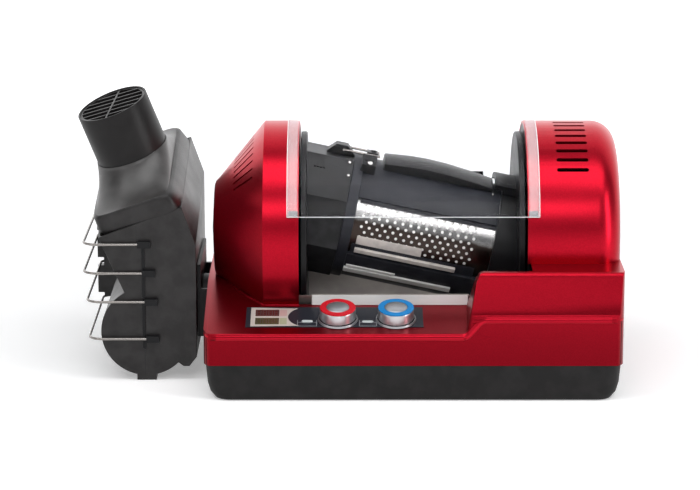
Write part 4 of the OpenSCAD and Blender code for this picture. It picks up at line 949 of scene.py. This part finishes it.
def lofted(rings):
    """Closed rings of (points, height), one over another, joined with four-sided faces."""
    count, verts, faces = len(rings[0][0]), [], []
    for ring, z in rings:
        verts += [(x, y, z) for x, y in ring]
    for row in range(len(rings) - 1):
        for k in range(count):
            n = (k + 1) % count
            faces.append((row * count + k, row * count + n, (row + 1) * count + n, (row + 1) * count + k))
    return verts, faces


def between(first, second, share):
    return [(x0 + (x1 - x0) * share, y0 + (y1 - y0) * share) for (x0, y0), (x1, y1) in zip(first, second)]


TUBE_AT, BAND_TOP_Z, NECK_RISE, NECK_STEPS = (2, -7), 16.9, 23.0, 14
# Each ring of the band: its middle, its half sizes, its power and its height.
BAND = [((-1, 0, 39.0, 83.0, 12), -1.0), ((-1, 0, 40.6, 84.6, 12), -0.6), ((-1, 0, 41.0, 85.0, 12), 0.4),
        ((-2.6, 0, 39.2, 83.6, 11), 14.0), ((-2.8, -0.3, 38.6, 83.0, 10), 15.4), ((-3.0, -0.5, 37.7, 82.2, 9), 16.4),
        ((-3.3, -0.6, 36.6, 81.2, 9), BAND_TOP_Z)]
band_rings = [(round_outline(*ring), z) for ring, z in BAND]
band_top, neck_end = band_rings[-1][0], round_outline(*TUBE_AT, 34.7, 34.7, 2)
neck_rings = []
for k in range(NECK_STEPS + 1):
    way = k / NECK_STEPS
    neck_rings.append((between(band_top, neck_end, 1 - (1 - way) ** 1.15), BAND_TOP_Z + NECK_RISE * way ** 1.7))
neck_rings += [(round_outline(*TUBE_AT, r, r, 2), z) for r, z in ((34.5, 40.6), (34.0, 40.7), (33.4, 40.0))]
tube_wall = [(33.6, 39.0), (33.6, 89.4), (33.3, 89.9), (32.6, 90.0), (31.7, 89.7), (31.5, 89.0), (31.5, 78.0)]
for name, shape, mat in (("cap_band", lofted(band_rings), collector_plastic),
                         ("cap_neck", lofted(neck_rings), collector_lit_satin),
                         ("cap_tube", lathe(tube_wall, 128, TUBE_AT), tube_dark)):
    part = piece_of(name, *shape, mat, body_of("collector_cap"), "collector_plastic", IN_CAP, angle=50)
    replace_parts(part, "collector_cap")

# %% Rail and seams on the bin
def on_bin(x0, x1, proud, z0, z1):
    """A flat bar on the bin's front face. It stands proud by so much."""
    return box(x0, x1, COL_FRONT - proud, COL_FRONT + 0.1, z0, z1)


piece_of("clip_rail", *box(-247.5, -244.6, COL_FRONT - 1.1, COL_FRONT + 0.2, 30, 128), black_plastic,
         "collector", "collector_plastic", bevel=0.3)
seams = joined(on_bin(-245.9, -245.4, 0.12, 5, 30), on_bin(-252.2, -251.8, 0.12, 128, 146))
piece_of("bin_seam", *seams, seam_and_shade_black, "collector", "collector_plastic")

# %% [markdown]
# ## Knobs
# Each knob is a short aluminium drum with a flat coloured ring and a domed grey top.

# %% Knobs
red_ring = finish("red_ring", (0.58, 0.003, 0.014), 0.5, grain=0.5, bump=0.03, Specular_IOR_Level=0.3)
blue_ring = finish("blue_ring", (0.003, 0.2, 0.52), 0.5, grain=0.5, bump=0.03, Specular_IOR_Level=0.3)
knob_metal = finish("knob_metal", (0.66, 0.66, 0.68), 0.36, metal=0.95, grain=0.3, bump=0.1)
knob_dome = finish("knob_dome", (0.36, 0.37, 0.39), 0.3, metal=0.7, grain=0.4, bump=0.05)
KNOB_R = 16.5


def make_knob(node, x, ring, side_slot):
    """A side, a ring and a dome: three lathed shells over one another, as (radius, height)."""
    r = KNOB_R
    side = [(3.06, 2.2), (r - 0.9, 2.2), (r - 0.4, 2.9), (r - 0.5, 11.2), (r - 0.9, 11.8), (r - 1.1, 11.7),
            (r - 1.3, 11.0)]
    band = [(r - 1.3, 11.0), (r - 1.2, 11.9), (r - 0.5, 12.1), (r - 0.3, 12.6), (r - 0.6, 13.2), (r - 1.2, 13.4),
            (r * 0.66, 13.4), (r * 0.64, 13.1), (r * 0.62, 12.2)]
    dome = [(r * 0.63, 12.2), (r * 0.625, 13.2), (r * 0.55, 13.9), (r * 0.38, 14.4), (r * 0.2, 14.7), (0, 14.8)]
    for name, profile, mat, slot in (("_side", side, knob_metal, side_slot), ("_ring", band, ring, "red_knob"),
                                     ("_dome", dome, knob_dome, "red_knob")):
        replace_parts(piece_of(node + name, *lathe(profile, 96), mat, body_of(node), slot, on_deck(x, -92)), node)


make_knob("temperature_knob", -68, red_ring, "red_knob")
make_knob("time_knob", -15.6, blue_ring, "blue_knob")
print("knob pieces ride on", body_of("temperature_knob"), "and", body_of("time_knob"))
